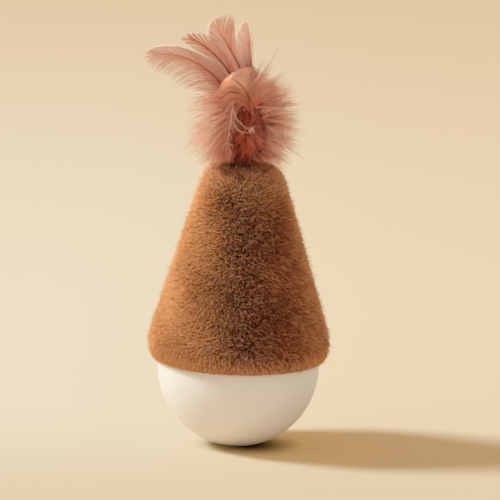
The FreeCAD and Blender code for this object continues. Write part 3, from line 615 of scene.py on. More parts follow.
def makeCoat(coatName, coat):
    plan = plush
    draw = np.random.default_rng(plan["seed"] + coat["points"])
    tuftLength, tuftAngle = tuftGrid(draw, coat["pitch"])
    tufts = len(tuftLength)
    place = turnedPoints(tuftLength, tuftAngle, 0)
    radius = np.hypot(place[:, 0], place[:, 1])
    band = seamBand(tuftAngle, radius, place[:, 2])
    hem = 1 - smoothStep(place[:, 2], lineRows[0, 1], plan["hemTop"])
    nap = plan["nap"] + (plan["hemNap"] - plan["nap"]) * hem + bandPlan["nap"] * band
    nap += plan["napCloud"] * softNoise(place, *plan["napNoise"]) + draw.normal(0, coat["swirl"], tufts)
    swirl = coat["swirl"] * (1 + bandPlan["swirl"] * band)
    side = plan["flow"] * softNoise(place, *plan["sideNoise"]) + draw.normal(0, 1, tufts) * swirl
    size = 1 + plan["sizeSpread"] * draw.normal(size=tufts)

    own = np.repeat(np.arange(tufts), coat["hairs"])
    count = len(own)
    rootLength = tuftLength[own] + draw.normal(0, coat["spread"], count)
    rootLength = np.clip(rootLength, plan["margin"], lineSteps[-1] - plan["margin"])
    rootAngle = tuftAngle[own] + draw.normal(0, coat["spread"], count) / radius[own]
    root = turnedPoints(rootLength, rootAngle, 0)
    ownLength = rootLength + (tuftLength[own] - rootLength) * coat["gather"]
    ownAngle = rootAngle + (tuftAngle[own] - rootAngle) * coat["gather"]
    tipLength = ownLength - nap[own] + draw.normal(0, plan["tipSpread"], count)
    tipLength = np.maximum(tipLength, draw.uniform(0, plan["hemSpread"], count))
    tipAngle = ownAngle + (side[own] + draw.normal(0, plan["tipSpread"], count)) / radius[own]
    tip = turnedPoints(tipLength, tipAngle, 2)
    isStray = draw.uniform(size=count) < plan["strays"]
    stray = np.where(isStray, between(draw, plan["strayLength"], count), 1.0)
    tip = root + (tip - root) * (size[own] * between(draw, coat["length"], count) * stray)[:, None]
    hang = plan["fringe"] * draw.uniform(0, 1, tufts)[own] ** 2 * draw.uniform(0.5, 1, count)
    tip[:, 2] -= hang * (1 - smoothStep(root[:, 2], lineRows[0, 1], lineRows[0, 1] + plan["fringeRise"]))
    height = np.linalg.norm(tip - root, axis=1)[:, None]
    wave = draw.normal(0, plan["waveSpread"], (tufts, 3))[own] * (1 + band[own])[:, None]
    middle = root + backingNormals(rootLength, rootAngle) * height * plan["stand"] + wave
    steps = np.linspace(0, 1, coat["points"]) ** plan["stepEase"]
    paths = curveAt([root, middle, tip], steps)
    taper = np.interp(steps, *plan["taper"])
    widths = coat["width"] * between(draw, plan["widthSpread"], count)[:, None] * taper[None]

    wispTone = draw.normal(0, plan["tuftTone"], tufts)[own]
    hairBand = seamBand(rootAngle, radius[own], root[:, 2])
    # the seam band is painted a little darker, painted shade at the edge of the lit side, and some of its
    # tufts get pale frosted tips, painted highlights of tips that catch the light
    shade = pileTone(rootAngle, root, draw) + bandPlan["shade"] * hairBand + wispTone + coat["tone"]
    frosted = draw.uniform(size=tufts)[own] < bandPlan["frost"] * hairBand
    shade = np.clip(shade, *plan["shadeLimits"])
    shade = np.where(frosted, between(draw, bandPlan["frostTone"], count), shade)
    # lighter tufts round the crown's lip and the hem: painted light, kept off the crown's painted hollow
    # shade
    lip = bandPlan["lip"] * smoothStep(root[:, 2], *bandPlan["lipRise"])
    lip = lip * (1 - smoothStep(root[:, 2], *bandPlan["lipFall"]))
    lip *= 1 - crownHollowShade(root)
    lip += bandPlan["hemLip"] * (1 - smoothStep(root[:, 2], *bandPlan["hemRise"]))
    paintedLightTufts = draw.uniform(size=tufts)[own] < lip
    shade = np.where(paintedLightTufts, between(draw, bandPlan["lipTone"], count), shade)
    along = np.tile(steps, (count, 1))

    sectors = plan["sectors"]
    sector = ((wrapAngle(rootAngle) + math.pi) / (2 * math.pi) * sectors).astype(int) % sectors
    crown = (root[:, 2] > plan["crownHeight"]) & (np.hypot(root[:, 0], root[:, 1]) < plan["crownStart"])
    sector = np.where(crown, sectors, sector)
    for index in range(sectors + 1):
        chosen = sector == index
        node = "plush_panel_left" if index < sectors // 2 else "plush_panel_right"
        name = f"skirt{coatName}{index + 1}"
        if index == sectors:
            name, node = f"crown{coatName}", "plush_crown"
        strandPiece(name, paths[chosen], widths[chosen], shade[chosen], along[chosen])
        finishObject(name, "base", "brown_plush", pile, node)
    print(coatName, "hairs:", count)


def makeCrownStrays():      # loose fibres that stand up round the plume
    plan = strayPlan
    draw = np.random.default_rng(plan["seed"])
    count = plan["hairs"]
    angle = draw.uniform(-math.pi, math.pi, count)
    root = roundAbout(angle, between(draw, plan["radius"], count), np.full(count, plan["foot"]))
    outward = roundAbout(angle, 1, 0 * angle)
    length = between(draw, plan["length"], count)[:, None]
    up = np.array([[0, 0, 1.0]])
    middle = root + up * length * plan["rise"] + draw.normal(0, plan["curl"], (count, 3))
    middle = middle + outward * plan["bow"]
    aim = up * plan["aimUp"] + outward * plan["aimOut"] + draw.normal(0, plan["aimSpread"], (count, 3))
    steps = np.linspace(0, 1, plan["points"])
    paths = curveAt([root, middle, root + unit(aim) * length], steps)
    widths = plan["width"] * np.interp(steps, *plan["taper"])[None].repeat(count, axis=0)
    pale = draw.uniform(size=count) < plan["pale"]
    shade = np.where(pale, between(draw, plan["paleTone"], count), between(draw, plan["darkTone"], count))
    strandPiece("crownStrays", paths, widths, shade, np.tile(steps, (count, 1)))
    finishObject("crownStrays", "base", "brown_plush", pile, "plush_crown")


makeBacking()
for coatName, coatPlan in plush["coats"].items():
    makeCoat(coatName, coatPlan)
makeCrownStrays()
print("plush ready")


# Flat feathers: a horn quill with rows of separate barbs
# edge rows: share of the quill and distance from it, where the barbs end, up to the tip

tieHeight = 137.0
quillFoot = 125.8
featherPlan = dict(
    longFeather=dict(
        node="feather_long", quill=(-1.21, -0.7), bend=34.32, sweep=104, lean=(0, -2.5, 0.5, 0.4),
        drift=-1.0, twist=28, cup=0.9, shaft=0.96, tone=0.66, shaftTone=0.55, seed=51,
        vanes=(
            dict(
                side=1, barbs=470, roots=(0.24, 0.95), angle=26, splits=30, cling=(0.0, 0.12), width=0.14,
                thin=0.7, ragged=0.5, short=(0.10, 0.05),
                edge=[
                    (0.56, 4.9), (0.68, 5.0), (0.77, 4.9), (0.86, 4.6), (0.92, 4.0), (0.96, 3.2),
                    (0.99, 2.2), (1.01, 0.8), (1.012, -0.3)]),
            dict(
                side=-1, barbs=520, roots=(0.10, 0.95), angle=13, splits=40, cling=(0.2, 0.75), tipCling=0.1,
                width=0.12, thin=0.5, ragged=0.9, short=(0.75, 0.05), deep=(0.42, 0.22, 0.45),
                edge=[
                    (0.48, 8.4), (0.60, 12.0), (0.68, 13.2), (0.73, 12.8), (0.80, 11.3), (0.86, 9.9),
                    (0.92, 8.3), (0.97, 6.4), (1.0, 4.4), (1.012, 2.2), (1.015, 0.2)]))),
    narrowFeather=dict(
        node="feather_narrow", quill=(-1.21, 0.7), bend=47.41, sweep=62.6, lean=(0, 2.6, 2.6, 0), drift=1.5,
        twist=-8, cup=0.5, shaft=0.99, tone=0.42, shaftTone=0.05, seed=52,
        vanes=(
            dict(
                side=1, barbs=230, roots=(0.40, 0.95), angle=24, splits=7, cling=(0.4, 0.8), width=0.15,
                thin=0.5, ragged=0.8, short=(0.15, 0.1),
                edge=[
                    (0.74, 3.0), (0.80, 4.0), (0.85, 5.4), (0.90, 5.6), (0.95, 3.8), (1.0, 2.0),
                    (1.02, 0.3)]),
            dict(
                side=-1, barbs=270, roots=(0.12, 0.96), angle=18, splits=12, cling=(0.1, 0.5), width=0.15,
                thin=0.6, ragged=0.8, short=(0.15, 0.1),
                edge=[
                    (0.46, 2.8), (0.60, 3.7), (0.75, 4.0), (0.86, 4.1), (0.93, 3.8), (1.0, 3.4),
                    (1.035, 2.5), (1.02, 0.3)]))),
    tallFeather=dict(
        node="feather_tall", quill=(0.0, 0.0), bend=139.1, sweep=21.5, lean=(0, 8.5, -3.2, -4.8), drift=1.2,
        twist=-32, cup=0.9, shaft=0.90, tone=0.62, shaftTone=0.30, seed=53,
        vanes=(
            dict(
                side=1, barbs=420, roots=(0.20, 0.95), angle=18, splits=22, cling=(0.0, 0.12), width=0.15,
                thin=0.7, ragged=0.6, short=(0.30, 0.08),
                edge=[
                    (0.52, 2.6), (0.66, 2.4), (0.77, 3.2), (0.85, 5.6), (0.92, 7.9), (0.98, 9.4),
                    (1.02, 9.0), (1.04, 7.0), (1.04, 4.2), (1.03, 1.6), (1.02, 0.2)]),
            dict(
                side=-1, barbs=540, roots=(0.16, 0.95), angle=22, splits=26, cling=(0.0, 0.10), width=0.15,
                thin=0.75, ragged=0.4, short=(0.08, 0.05),
                edge=[
                    (0.48, 9.0), (0.60, 11.6), (0.72, 12.3), (0.80, 11.6), (0.86, 10.5), (0.91, 8.7),
                    (0.95, 6.6), (0.985, 4.4), (1.01, 2.0), (1.02, 0.2)]))),
    uprightFeather=dict(
        node="feather_upright", quill=(0.7, 1.21), bend=716, sweep=4, lean=(0, 4.3, 1.6, 1.2), drift=1.5,
        twist=-32, cup=0.7, shaft=0.60, tone=0.70, shaftTone=0.80, seed=54,
        vanes=(
            dict(
                side=1, barbs=60, roots=(0.40, 0.90), angle=6, splits=4, cling=(0.0, 0.1), width=0.12,
                thin=0.5, ragged=0.5, short=(0.2, 0.2),
                edge=[(0.66, 0.3), (0.78, 0.7), (0.90, 0.7), (0.98, 0.4)]),
            dict(
                side=-1, barbs=480, roots=(0.12, 0.94), angle=18, splits=22, cling=(0.0, 0.15), width=0.14,
                thin=0.7, ragged=0.5, short=(0.12, 0.08),
                edge=[
                    (0.42, 7.8), (0.54, 9.8), (0.66, 10.2), (0.77, 9.8), (0.86, 8.4), (0.93, 6.2),
                    (0.97, 3.8), (0.995, 2.0), (0.985, 0.6)]))))
barbPlan = dict(
    points=7, rowPoints=40, frost=0.08, shade=0.15, groupShade=0.09, quillStart=0.3,
    quillWidths=(1.1, 0.6, 0.2), twistEnd=0.4, orderJitter=0.4, aheadStep=0.2, groupLift=0.28, cupWidth=6,
    cupBow=0.15, liftBow=0.4, pathSpread=0.10, raggedLength=14, shortCut=(0.35, 0.9), finePoints=24,
    widthSpread=(0.75, 1.25), thinStart=0.3, orderShade=0.2, frostTone=0.93, shadeLimits=(0.04, 0.82),
    alongBarb=0.85, alongVane=0.25)


def rachisPoint(plan, s):      # place and directions on the quill, s millimetres from the tie
    bend, sweep = plan["bend"], math.radians(plan["sweep"])
    angle = np.clip(s / bend, 0, sweep)
    over = np.clip(s - bend * sweep, 0, None)
    below = np.clip(s, None, 0)
    x = plan["quill"][0] - bend * (1 - np.cos(angle)) - over * np.sin(angle)
    z = tieHeight + bend * np.sin(angle) + over * np.cos(angle) + below
    share = np.clip(s / (bend * sweep), 0, 1.1)
    y = plan["quill"][1] + plan["drift"] * share ** 2
    normal = np.stack([np.cos(angle), 0 * angle, np.sin(angle)], axis=-1)
    weights = ((1 - share) ** 3, 3 * share * (1 - share) ** 2, 3 * share ** 2 * (1 - share), share ** 3)
    lean = sum(weight * value for weight, value in zip(weights, plan["lean"]))
    place = np.stack([x, y, z], axis=-1) + normal * lean[..., None]
    depth = np.stack([0 * angle, 0 * angle + 1, 0 * angle], axis=-1)
    twist = np.radians(plan["twist"] * np.minimum(1, share / barbPlan["twistEnd"]))[..., None]
    turned = normal * np.cos(twist) + depth * np.sin(twist)
    return place, turned, depth * np.cos(twist) - normal * np.sin(twist)


def clingTogether(draw, order, splits, cling, ease=1.0):
    # neighbouring barbs hook into groups and leave gaps
    breaks = np.sort(draw.uniform(0, 1, splits))
    group = np.searchsorted(breaks, order)
    edges = np.r_[0, breaks, 1]
    middle = ((edges[:-1] + edges[1:]) / 2)[group]
    held = between(draw, cling, splits + 1)[group] * (1 + (ease - 1) * order)
    return middle + (order - middle) * (1 - held), group


def spacedOrder(draw, count):
    jitter = barbPlan["orderJitter"]
    return np.clip((np.arange(count) + draw.uniform(-jitter, jitter, count)) / count, 0, 1)


def makeVane(draw, plan, vane):
    shared = barbPlan
    total = plan["bend"] * math.radians(plan["sweep"])
    steps = np.linspace(0, 1, shared["points"])
    count = vane["barbs"]
    order = spacedOrder(draw, count)
    tipOrder, group = clingTogether(draw, order, vane["splits"], vane["cling"], vane.get("tipCling", 1.0))
    edge = lineAt(softLine([(share * total, width) for share, width in vane["edge"]], rounds=60), tipOrder)
    low, high = vane["roots"]
    rootAlong = total * (low + (high - low) * order)
    root, rootNormal, rootDepth = rachisPoint(plan, rootAlong)
    ahead = unit(rachisPoint(plan, rootAlong + shared["aheadStep"])[0] - root)
    tip, tipNormal, tipDepth = rachisPoint(plan, edge[:, 0])
    groupLift = draw.normal(0, shared["groupLift"], vane["splits"] + 1)[group]
    tip = tip + vane["side"] * edge[:, 1:] * tipNormal
    tip += (plan["cup"] * (edge[:, 1] / shared["cupWidth"]) ** 2 + groupLift)[:, None] * tipDepth
    span = np.linalg.norm(tip - root, axis=1)[:, None]
    angle = math.radians(vane["angle"])
    middle = root + (ahead * math.cos(angle) + vane["side"] * rootNormal * math.sin(angle)) * span * 0.5
    bowLift = (plan["cup"] * shared["cupBow"] + shared["liftBow"] * groupLift)[:, None] * rootDepth
    middle += bowLift + draw.normal(0, shared["pathSpread"], (count, 3))
    cut = 1 - np.abs(draw.normal(0, vane["ragged"], count)) / shared["raggedLength"]
    short = np.interp(order, (0, 1), vane["short"])
    cut *= np.where(draw.uniform(size=count) < short, between(draw, shared["shortCut"], count), 1)

    fine = shared["finePoints"]
    paths = curveAt([root, middle, tip], np.linspace(0, 1, fine))
    reach = cut[:, None] * steps[None] * (fine - 1)
    first = np.minimum(reach.astype(int), fine - 2)
    part = (reach - first)[..., None]
    own = np.arange(count)[:, None]
    paths = paths[own, first] * (1 - part) + paths[own, first + 1] * part
    paths += draw.normal(0, shared["pathSpread"], (count, 1, 3)) * steps[None, :, None] ** 2
    width = vane["width"] * between(draw, shared["widthSpread"], count)
    widths = width[:, None] * np.interp(steps, (0, shared["thinStart"], 1), (1, 1, vane["thin"]))[None]
    shade = plan["tone"] + shared["orderShade"] * (order - 0.5) + draw.normal(0, shared["shade"], count)
    shade += draw.normal(0, shared["groupShade"], vane["splits"] + 1)[group]
    middle, half, depth = vane.get("deep", (0, 1, 0))
    shade -= depth * np.exp(-((order - middle) / half) ** 2)
    frosted = draw.uniform(size=count) < shared["frost"]
    shade = np.where(frosted, shared["frostTone"], np.clip(shade, *shared["shadeLimits"]))
    along = np.clip(steps[None] * shared["alongBarb"] + order[:, None] * shared["alongVane"], 0, 1)
    return paths, widths, shade, along, np.repeat(rootNormal[:, None], len(steps), axis=1)


def joinSets(sets):
    return [np.concatenate([one[part] for one in sets]) for part in range(len(sets[0]))]


def makeFeather(name, plan):
    draw = np.random.default_rng(plan["seed"])
    strandPiece(name, *joinSets([makeVane(draw, plan, vane) for vane in plan["vanes"]]))
    finishObject(name, "plume", "dyed_feather", featherBarbs, plan["node"])

    total = plan["bend"] * math.radians(plan["sweep"])
    rows = np.linspace(quillFoot - tieHeight, total * plan["shaft"], barbPlan["rowPoints"])
    place, normal, _ = rachisPoint(plan, rows)
    start, quillWidths = barbPlan["quillStart"], barbPlan["quillWidths"]
    widths = np.interp(rows, (0, total * start, total), quillWidths)
    strandPiece(name + "Shaft", place[None], widths[None], np.array([plan["shaftTone"]]),
                np.linspace(0.1, 1, barbPlan["rowPoints"])[None], normal[None])
    finishObject(name + "Shaft", "plume", "dyed_feather", quillHorn, plan["node"])


for featherName, featherData in featherPlan.items():
    makeFeather(featherName, featherData)


# The curled feather turns over towards the front like a small hood, and its lower barbs are downy
# left and right: share of the shaft where a barb grows, how downy it is, where it bows to and where it ends

curledPlan = dict(
    rachis=[
        (0.7, -1.2, 125.8), (1.6, -2.6, 134.0), (3.5, -6.5, 141.6), (3.6, -9.5, 147.4), (2.7, -12.0, 153.1),
        (0.6, -14.5, 158.1), (-2.2, -16.2, 161.7), (-5.8, -17.2, 164.3)],
    left=[
        (0.52, 1.0, -0.5, -14.0, 152.3, -4.5, -13.5, 147.4),
        (0.62, 1.0, -4.4, -15.0, 156.1, -11.0, -13.0, 145.7),
        (0.70, 1.0, -6.6, -15.0, 158.2, -15.4, -12.0, 148.2),
        (0.755, 0.8, -7.1, -15.0, 160.0, -16.6, -11.0, 151.0),
        (0.818, 0.2, -6.7, -15.5, 161.1, -12.7, -10.5, 155.4),
        (0.899, 0.0, -7.2, -16.0, 163.0, -11.9, -10.5, 158.7),
        (0.956, 0.0, -7.6, -16.5, 164.2, -9.8, -11.0, 162.3),
        (0.987, 0.0, -7.2, -16.5, 164.9, -7.7, -12.0, 164.5),
        (1.0, 0.0, -5.8, -16.5, 165.4, -5.0, -12.0, 166.7),
        (1.0, 0.0, -4.8, -16.3, 165.6, -3.6, -10.5, 167.2)],
    right=[
        (0.60, 1.0, 8.0, -12.0, 154.0, 18.5, -8.0, 154.0),
        (0.667, 1.0, 7.0, -13.0, 157.9, 17.4, -7.0, 158.4),
        (0.710, 1.0, 5.9, -13.5, 160.6, 14.8, -6.0, 162.7),
        (0.755, 0.8, 4.5, -14.0, 162.5, 10.0, -5.0, 164.6),
        (0.792, 0.45, 3.2, -14.5, 163.9, 6.6, -4.5, 165.7),
        (0.849, 0.2, 1.9, -15.0, 165.2, 4.8, -4.5, 167.1),
        (0.893, 0.05, 0.1, -15.5, 166.2, 2.6, -5.0, 168.2),
        (0.937, 0.0, -1.6, -16.0, 166.2, 0.9, -6.0, 168.4),
        (0.975, 0.0, -3.4, -16.5, 166.3, -1.5, -8.0, 167.9),
        (1.0, 0.0, -4.9, -16.8, 165.9, -3.9, -10.6, 167.1),
        (1.0, 0.0, -6.0, -16.8, 165.4, -6.0, -12.8, 166.2)],
    barbs=900, splits=90, cling=(0.0, 0.8), downKept=0.5, downBelow=0.66, width=0.18, downWidth=0.13,
    loose=(2.2, 1.6, 2.2), bow=0.5, points=8, seed=61, tone=0.71, downTone=0.05, deepTone=-0.05, ragged=0.14,
    rootSpread=0.012, aheadStep=0.005, bowSpread=0.9, groupSpread=1.3, downReach=(-0.5, 0.05), rootPull=0.75,
    taper=((0, 0.85, 1), (1, 0.9, 0.4)), downTaper=((0, 1), (1, 0.3)), widthSpread=(0.8, 1.2), shade=0.13,
    groupShade=0.15, deepRange=(0.46, 0.66), mixSpread=0.02, shadeLimits=(0.04, 0.82), rachisPoints=48,
    rachisWidths=((0, 0.4, 1), (1.0, 0.45, 0.25)), rachisShift=(0, -0.5, 0.1), paleFrom=0.5,
    shafts=dict(
        curledFoot=dict(part=(-1, 0.72), tone=0.75, along=(0.8, 0.2)),
        curledShaft=dict(part=(0.66, 0.995), tone=0.20, along=(-0.25, 1))))


def curledSide(draw, plan, rachis, rows):
    steps = np.linspace(0, 1, plan["points"])
    count = plan["barbs"]
    order = spacedOrder(draw, count)
    tipOrder, group = clingTogether(draw, order, plan["splits"], plan["cling"])
    table = softLine(rows, rounds=20)
    own = lineAt(table, order)
    share, downy = own[:, 0], own[:, 1:2]
    rows = own + (lineAt(table, tipOrder) - own) * downy
    root = lineAt(rachis, share + draw.normal(0, plan["rootSpread"], count) * downy[:, 0])
    ahead = unit(lineAt(rachis, share + plan["aheadStep"]) - lineAt(rachis, share - plan["aheadStep"]))
    loose = draw.normal(0, 1, (count, 3)) * plan["loose"]
    tip = rows[:, 5:8] + draw.normal(0, plan["ragged"], (count, 3)) + loose * downy
    bow = rows[:, 2:5] + (rows[:, 2:5] - (root + tip) / 2) * plan["bow"]
    bow = bow + draw.normal(0, plan["bowSpread"], (count, 3)) * downy
    bow += draw.normal(0, plan["groupSpread"], (plan["splits"] + 1, 3))[group] * downy
    tip = bow + (tip - bow) * (1 + downy * between(draw, plan["downReach"], (count, 1)))
    controls = [root, root + (bow - root) * plan["rootPull"], bow + (tip - bow) * (1 - plan["rootPull"]), tip]
    taper = (1 - downy) * np.interp(steps, *plan["taper"]) + downy * np.interp(steps, *plan["downTaper"])
    wide = plan["width"] + (plan["downWidth"] - plan["width"]) * downy
    widths = wide * between(draw, plan["widthSpread"], (count, 1)) * taper
    shade = plan["tone"] + plan["downTone"] * downy[:, 0]
    shade = shade + draw.normal(0, plan["shade"], count) * (1 + downy[:, 0])
    shade += draw.normal(0, plan["groupShade"], plan["splits"] + 1)[group]
    shade += plan["deepTone"] * (1 - smoothStep(share, *plan["deepRange"]))
    # the hood's barbs run from light at the shaft to darker at their ends: painted light on the face, which
    # lies in shade, and painted shade on the rim, which the lamp lights; the downy barbs run from darker
    # roots to pale tips
    along = (1 - downy) * (0.9 - 0.7 * steps) + downy * (0.25 + 0.7 * steps)
    sides = np.repeat(ahead[:, None], len(steps), axis=1)
    kept = draw.uniform(size=count) < 1 + (plan["downKept"] - 1) * downy[:, 0]
    above = share + draw.normal(0, plan["mixSpread"], count) - plan["downBelow"]
    shade = np.clip(shade, *plan["shadeLimits"])
    return [part[kept] for part in (curveAt(controls, steps), widths, shade, along, sides, above)]


def makeCurled():
    plan = curledPlan
    draw = np.random.default_rng(plan["seed"])
    rachis = softLine(plan["rachis"], rounds=60)
    *strands, above = joinSets([curledSide(draw, plan, rachis, plan[key]) for key in ("left", "right")])
    halves = (("curledFeather", above > 0, curledBarbs), ("curledDown", above < 0, downBarbs))
    for name, chosen, material in halves:
        strandPiece(name, *[part[chosen] for part in strands])
        finishObject(name, "plume", "dyed_feather", material, "feather_curled")
    share = np.linspace(0, 1, plan["rachisPoints"])
    widths = np.interp(share, *plan["rachisWidths"])[None]
    for name, shaft in plan["shafts"].items():
        chosen = (share > shaft["part"][0]) & (share < shaft["part"][1])
        place = lineAt(rachis, share[chosen])[None] + np.array(plan["rachisShift"])
        along = shaft["along"][0] + shaft["along"][1] * share[chosen]
        strandPiece(name, place, widths[:, chosen], np.array([shaft["tone"]]), along[None])
        material = downBarbs if shaft["tone"] > plan["paleFrom"] else quillHorn
        finishObject(name, "plume", "dyed_feather", material, "feather_curled")


makeCurled()
print("feathers ready")


# Down: loose fine barbs that part along the middle of the plume and stream away to both sides
# line: where a group's barbs start, top to bottom
# elevation, reach and droop: at the line's top, middle and bottom

downPlan = dict(
    hairs=5, width=0.135, thin=0.30, points=6, seed=71, axis=(-0.5, -1.5), depth=19.0, depthY=0.4,
    open=(0.16, 0.62), flow=9.0, lowest=125.6, dip=2.0, hang=3.0, aimSpread=8, lengthRange=(0.45, 1),
    lengthCloud=0.05, lengthNoise=(6, 74), droopRange=(0.5, 1.4), lockTone=0.26, bend=0.55, aimWeight=14,
    flowSeed=75, bendSpread=0.45, hairSpread=0.10, endReach=(0.45, 1.25), lowestSpread=(-0.5, 2.5),
    dipRange=(6, 10), hangRange=(14.5, 18), press=0.25, thinStart=0.4, widthSpread=(0.7, 1.3), hairTone=0.10,
    shadeLimits=(0.03, 0.82), frost=0.08, frostFrom=0.55, frostTone=0.94,
    groups=dict(
        right=dict(
            locks=350, spread=(1.2, 2.5, 1.5), azimuth=(40, 140), elevation=(28, 2, -30), reach=(20, 23, 22),
            droop=(0, 2, 1), wave=0.8, tone=0.72,
            line=[(3.5, -1.5, 155.5), (5.5, -1.5, 145.0), (4.5, -1.0, 133.0)]),
        left=dict(
            locks=390, spread=(1.2, 2.5, 1.5), azimuth=(-150, -50), elevation=(24, 2, -30),
            reach=(27, 26, 18), droop=(7, 8, 3), wave=2.1, tone=0.70,
            line=[(-2.5, -3.0, 153.5), (-4.5, -3.0, 143.0), (-2.5, -2.5, 132.5)]),
        back=dict(
            locks=300, spread=(2.5, 1.5, 1.5), azimuth=(130, 232), elevation=(36, 0, -40),
            reach=(18, 19, 16), droop=(2, 4, 2), wave=1.3, tone=0.66,
            line=[(0.5, 2.0, 155.0), (0.5, 3.0, 144.0), (0.5, 2.0, 132.0)]),
        frontLeft=dict(
            locks=170, spread=(0.8, 1.0, 1.2), azimuth=(-105, -45), elevation=(8, -22, -40),
            reach=(17, 17, 12), droop=(4, 5, 2), wave=2.0, tone=0.78,
            line=[(-4.8, -11.0, 151.5), (-6.0, -12.0, 143.0), (-5.5, -10.0, 132.5)]),
        frontRight=dict(
            locks=145, spread=(0.9, 1.3, 1.5), azimuth=(40, 105), elevation=(30, 2, -34), reach=(15, 16, 14),
            droop=(0, 1, 1), wave=0.8, tone=0.74,
            line=[(8.0, -8.0, 153.0), (9.0, -9.0, 144.0), (8.5, -8.0, 133.5)]),
        crest=dict(
            locks=26, spread=(1.5, 2.0, 1.5), azimuth=(55, 140), elevation=(56, 46, 36), reach=(15, 18, 20),
            droop=(0, 0, 0), wave=0.6, tone=0.42, line=[(4.0, -2.0, 156.0), (6.5, -2.0, 150.0)]),
        # the groups from here down lie inside and under the plume and take lower tones: painted shade there
        heart=dict(
            locks=260, spread=(3.2, 1.2, 1.5), azimuth=(-85, 85), elevation=(-12, -30, -42),
            reach=(10, 10, 9), droop=(1, 1, 1), wave=0.8, tone=0.50,
            line=[(1.5, -5.0, 152.0), (2.0, -6.5, 141.0)]),
        lower=dict(
            locks=160, spread=(1.2, 1.2, 1.0), azimuth=(-95, 95), elevation=(-18, -38, -66),
            reach=(10, 9, 8), droop=(1, 1, 1), wave=1.1, tone=0.50,
            line=[(2.8, -10.0, 140.5), (2.2, -9.0, 137.0)]),
        skirt=dict(
            locks=240, spread=(1.5, 1.5, 1.0), azimuth=(-180, 180), elevation=(-20, -28, -34),
            reach=(15, 13, 10), droop=(1, 1, 0), wave=1.1, tone=0.44,
            line=[(0.5, -1.0, 136.0), (0.5, -1.0, 131.0)]),
        lowRight=dict(
            locks=80, spread=(1.8, 2.0, 0.8), azimuth=(20, 115), elevation=(-8, -16, -22),
            reach=(13, 12, 10), droop=(1, 1, 1), wave=0.8, tone=0.5,
            line=[(6.0, -4.0, 133.5), (6.0, -4.0, 129.5)]),
        collar=dict(
            locks=240, spread=(1.6, 1.6, 0.8), azimuth=(-180, 180), elevation=(-26, -20, -12),
            reach=(8, 7, 6), droop=(1, 1, 0.6), wave=0.9, tone=0.10,
            line=[(0.0, 0.0, 131.5), (0.0, 0.0, 126.8)])))


def flowNoise(points, size, seed):
    return np.stack([softNoise(points, size, seed + axis) for axis in range(3)], axis=1)


def makeLocks(draw, plan, group):      # start, aim, reach, droop, wave and tone of a group's locks
    count = group["locks"]
    t = draw.uniform(0, 1, count)
    azimuth = np.radians(between(draw, group["azimuth"], count))
    elevation = np.interp(t, (0, 0.5, 1), group["elevation"]) + draw.normal(0, plan["aimSpread"], count)
    elevation = np.radians(elevation)
    aim = roundAbout(azimuth, np.cos(elevation), np.sin(elevation))
    start = lineAt(softLine(group["line"], rounds=200), t) + draw.normal(0, 1, (count, 3)) * group["spread"]
    cloud = plan["lengthCloud"] * softNoise(aim * 10, *plan["lengthNoise"])
    length = between(draw, plan["lengthRange"], count) + cloud
    reach = np.interp(t, (0, 0.5, 1), group["reach"]) * length
    droop = np.interp(t, (0, 0.5, 1), group["droop"]) * between(draw, plan["droopRange"], count)
    tone = group["tone"] + draw.normal(0, plan["lockTone"], count)
    return start, aim, reach, droop, np.full(count, group["wave"]), tone


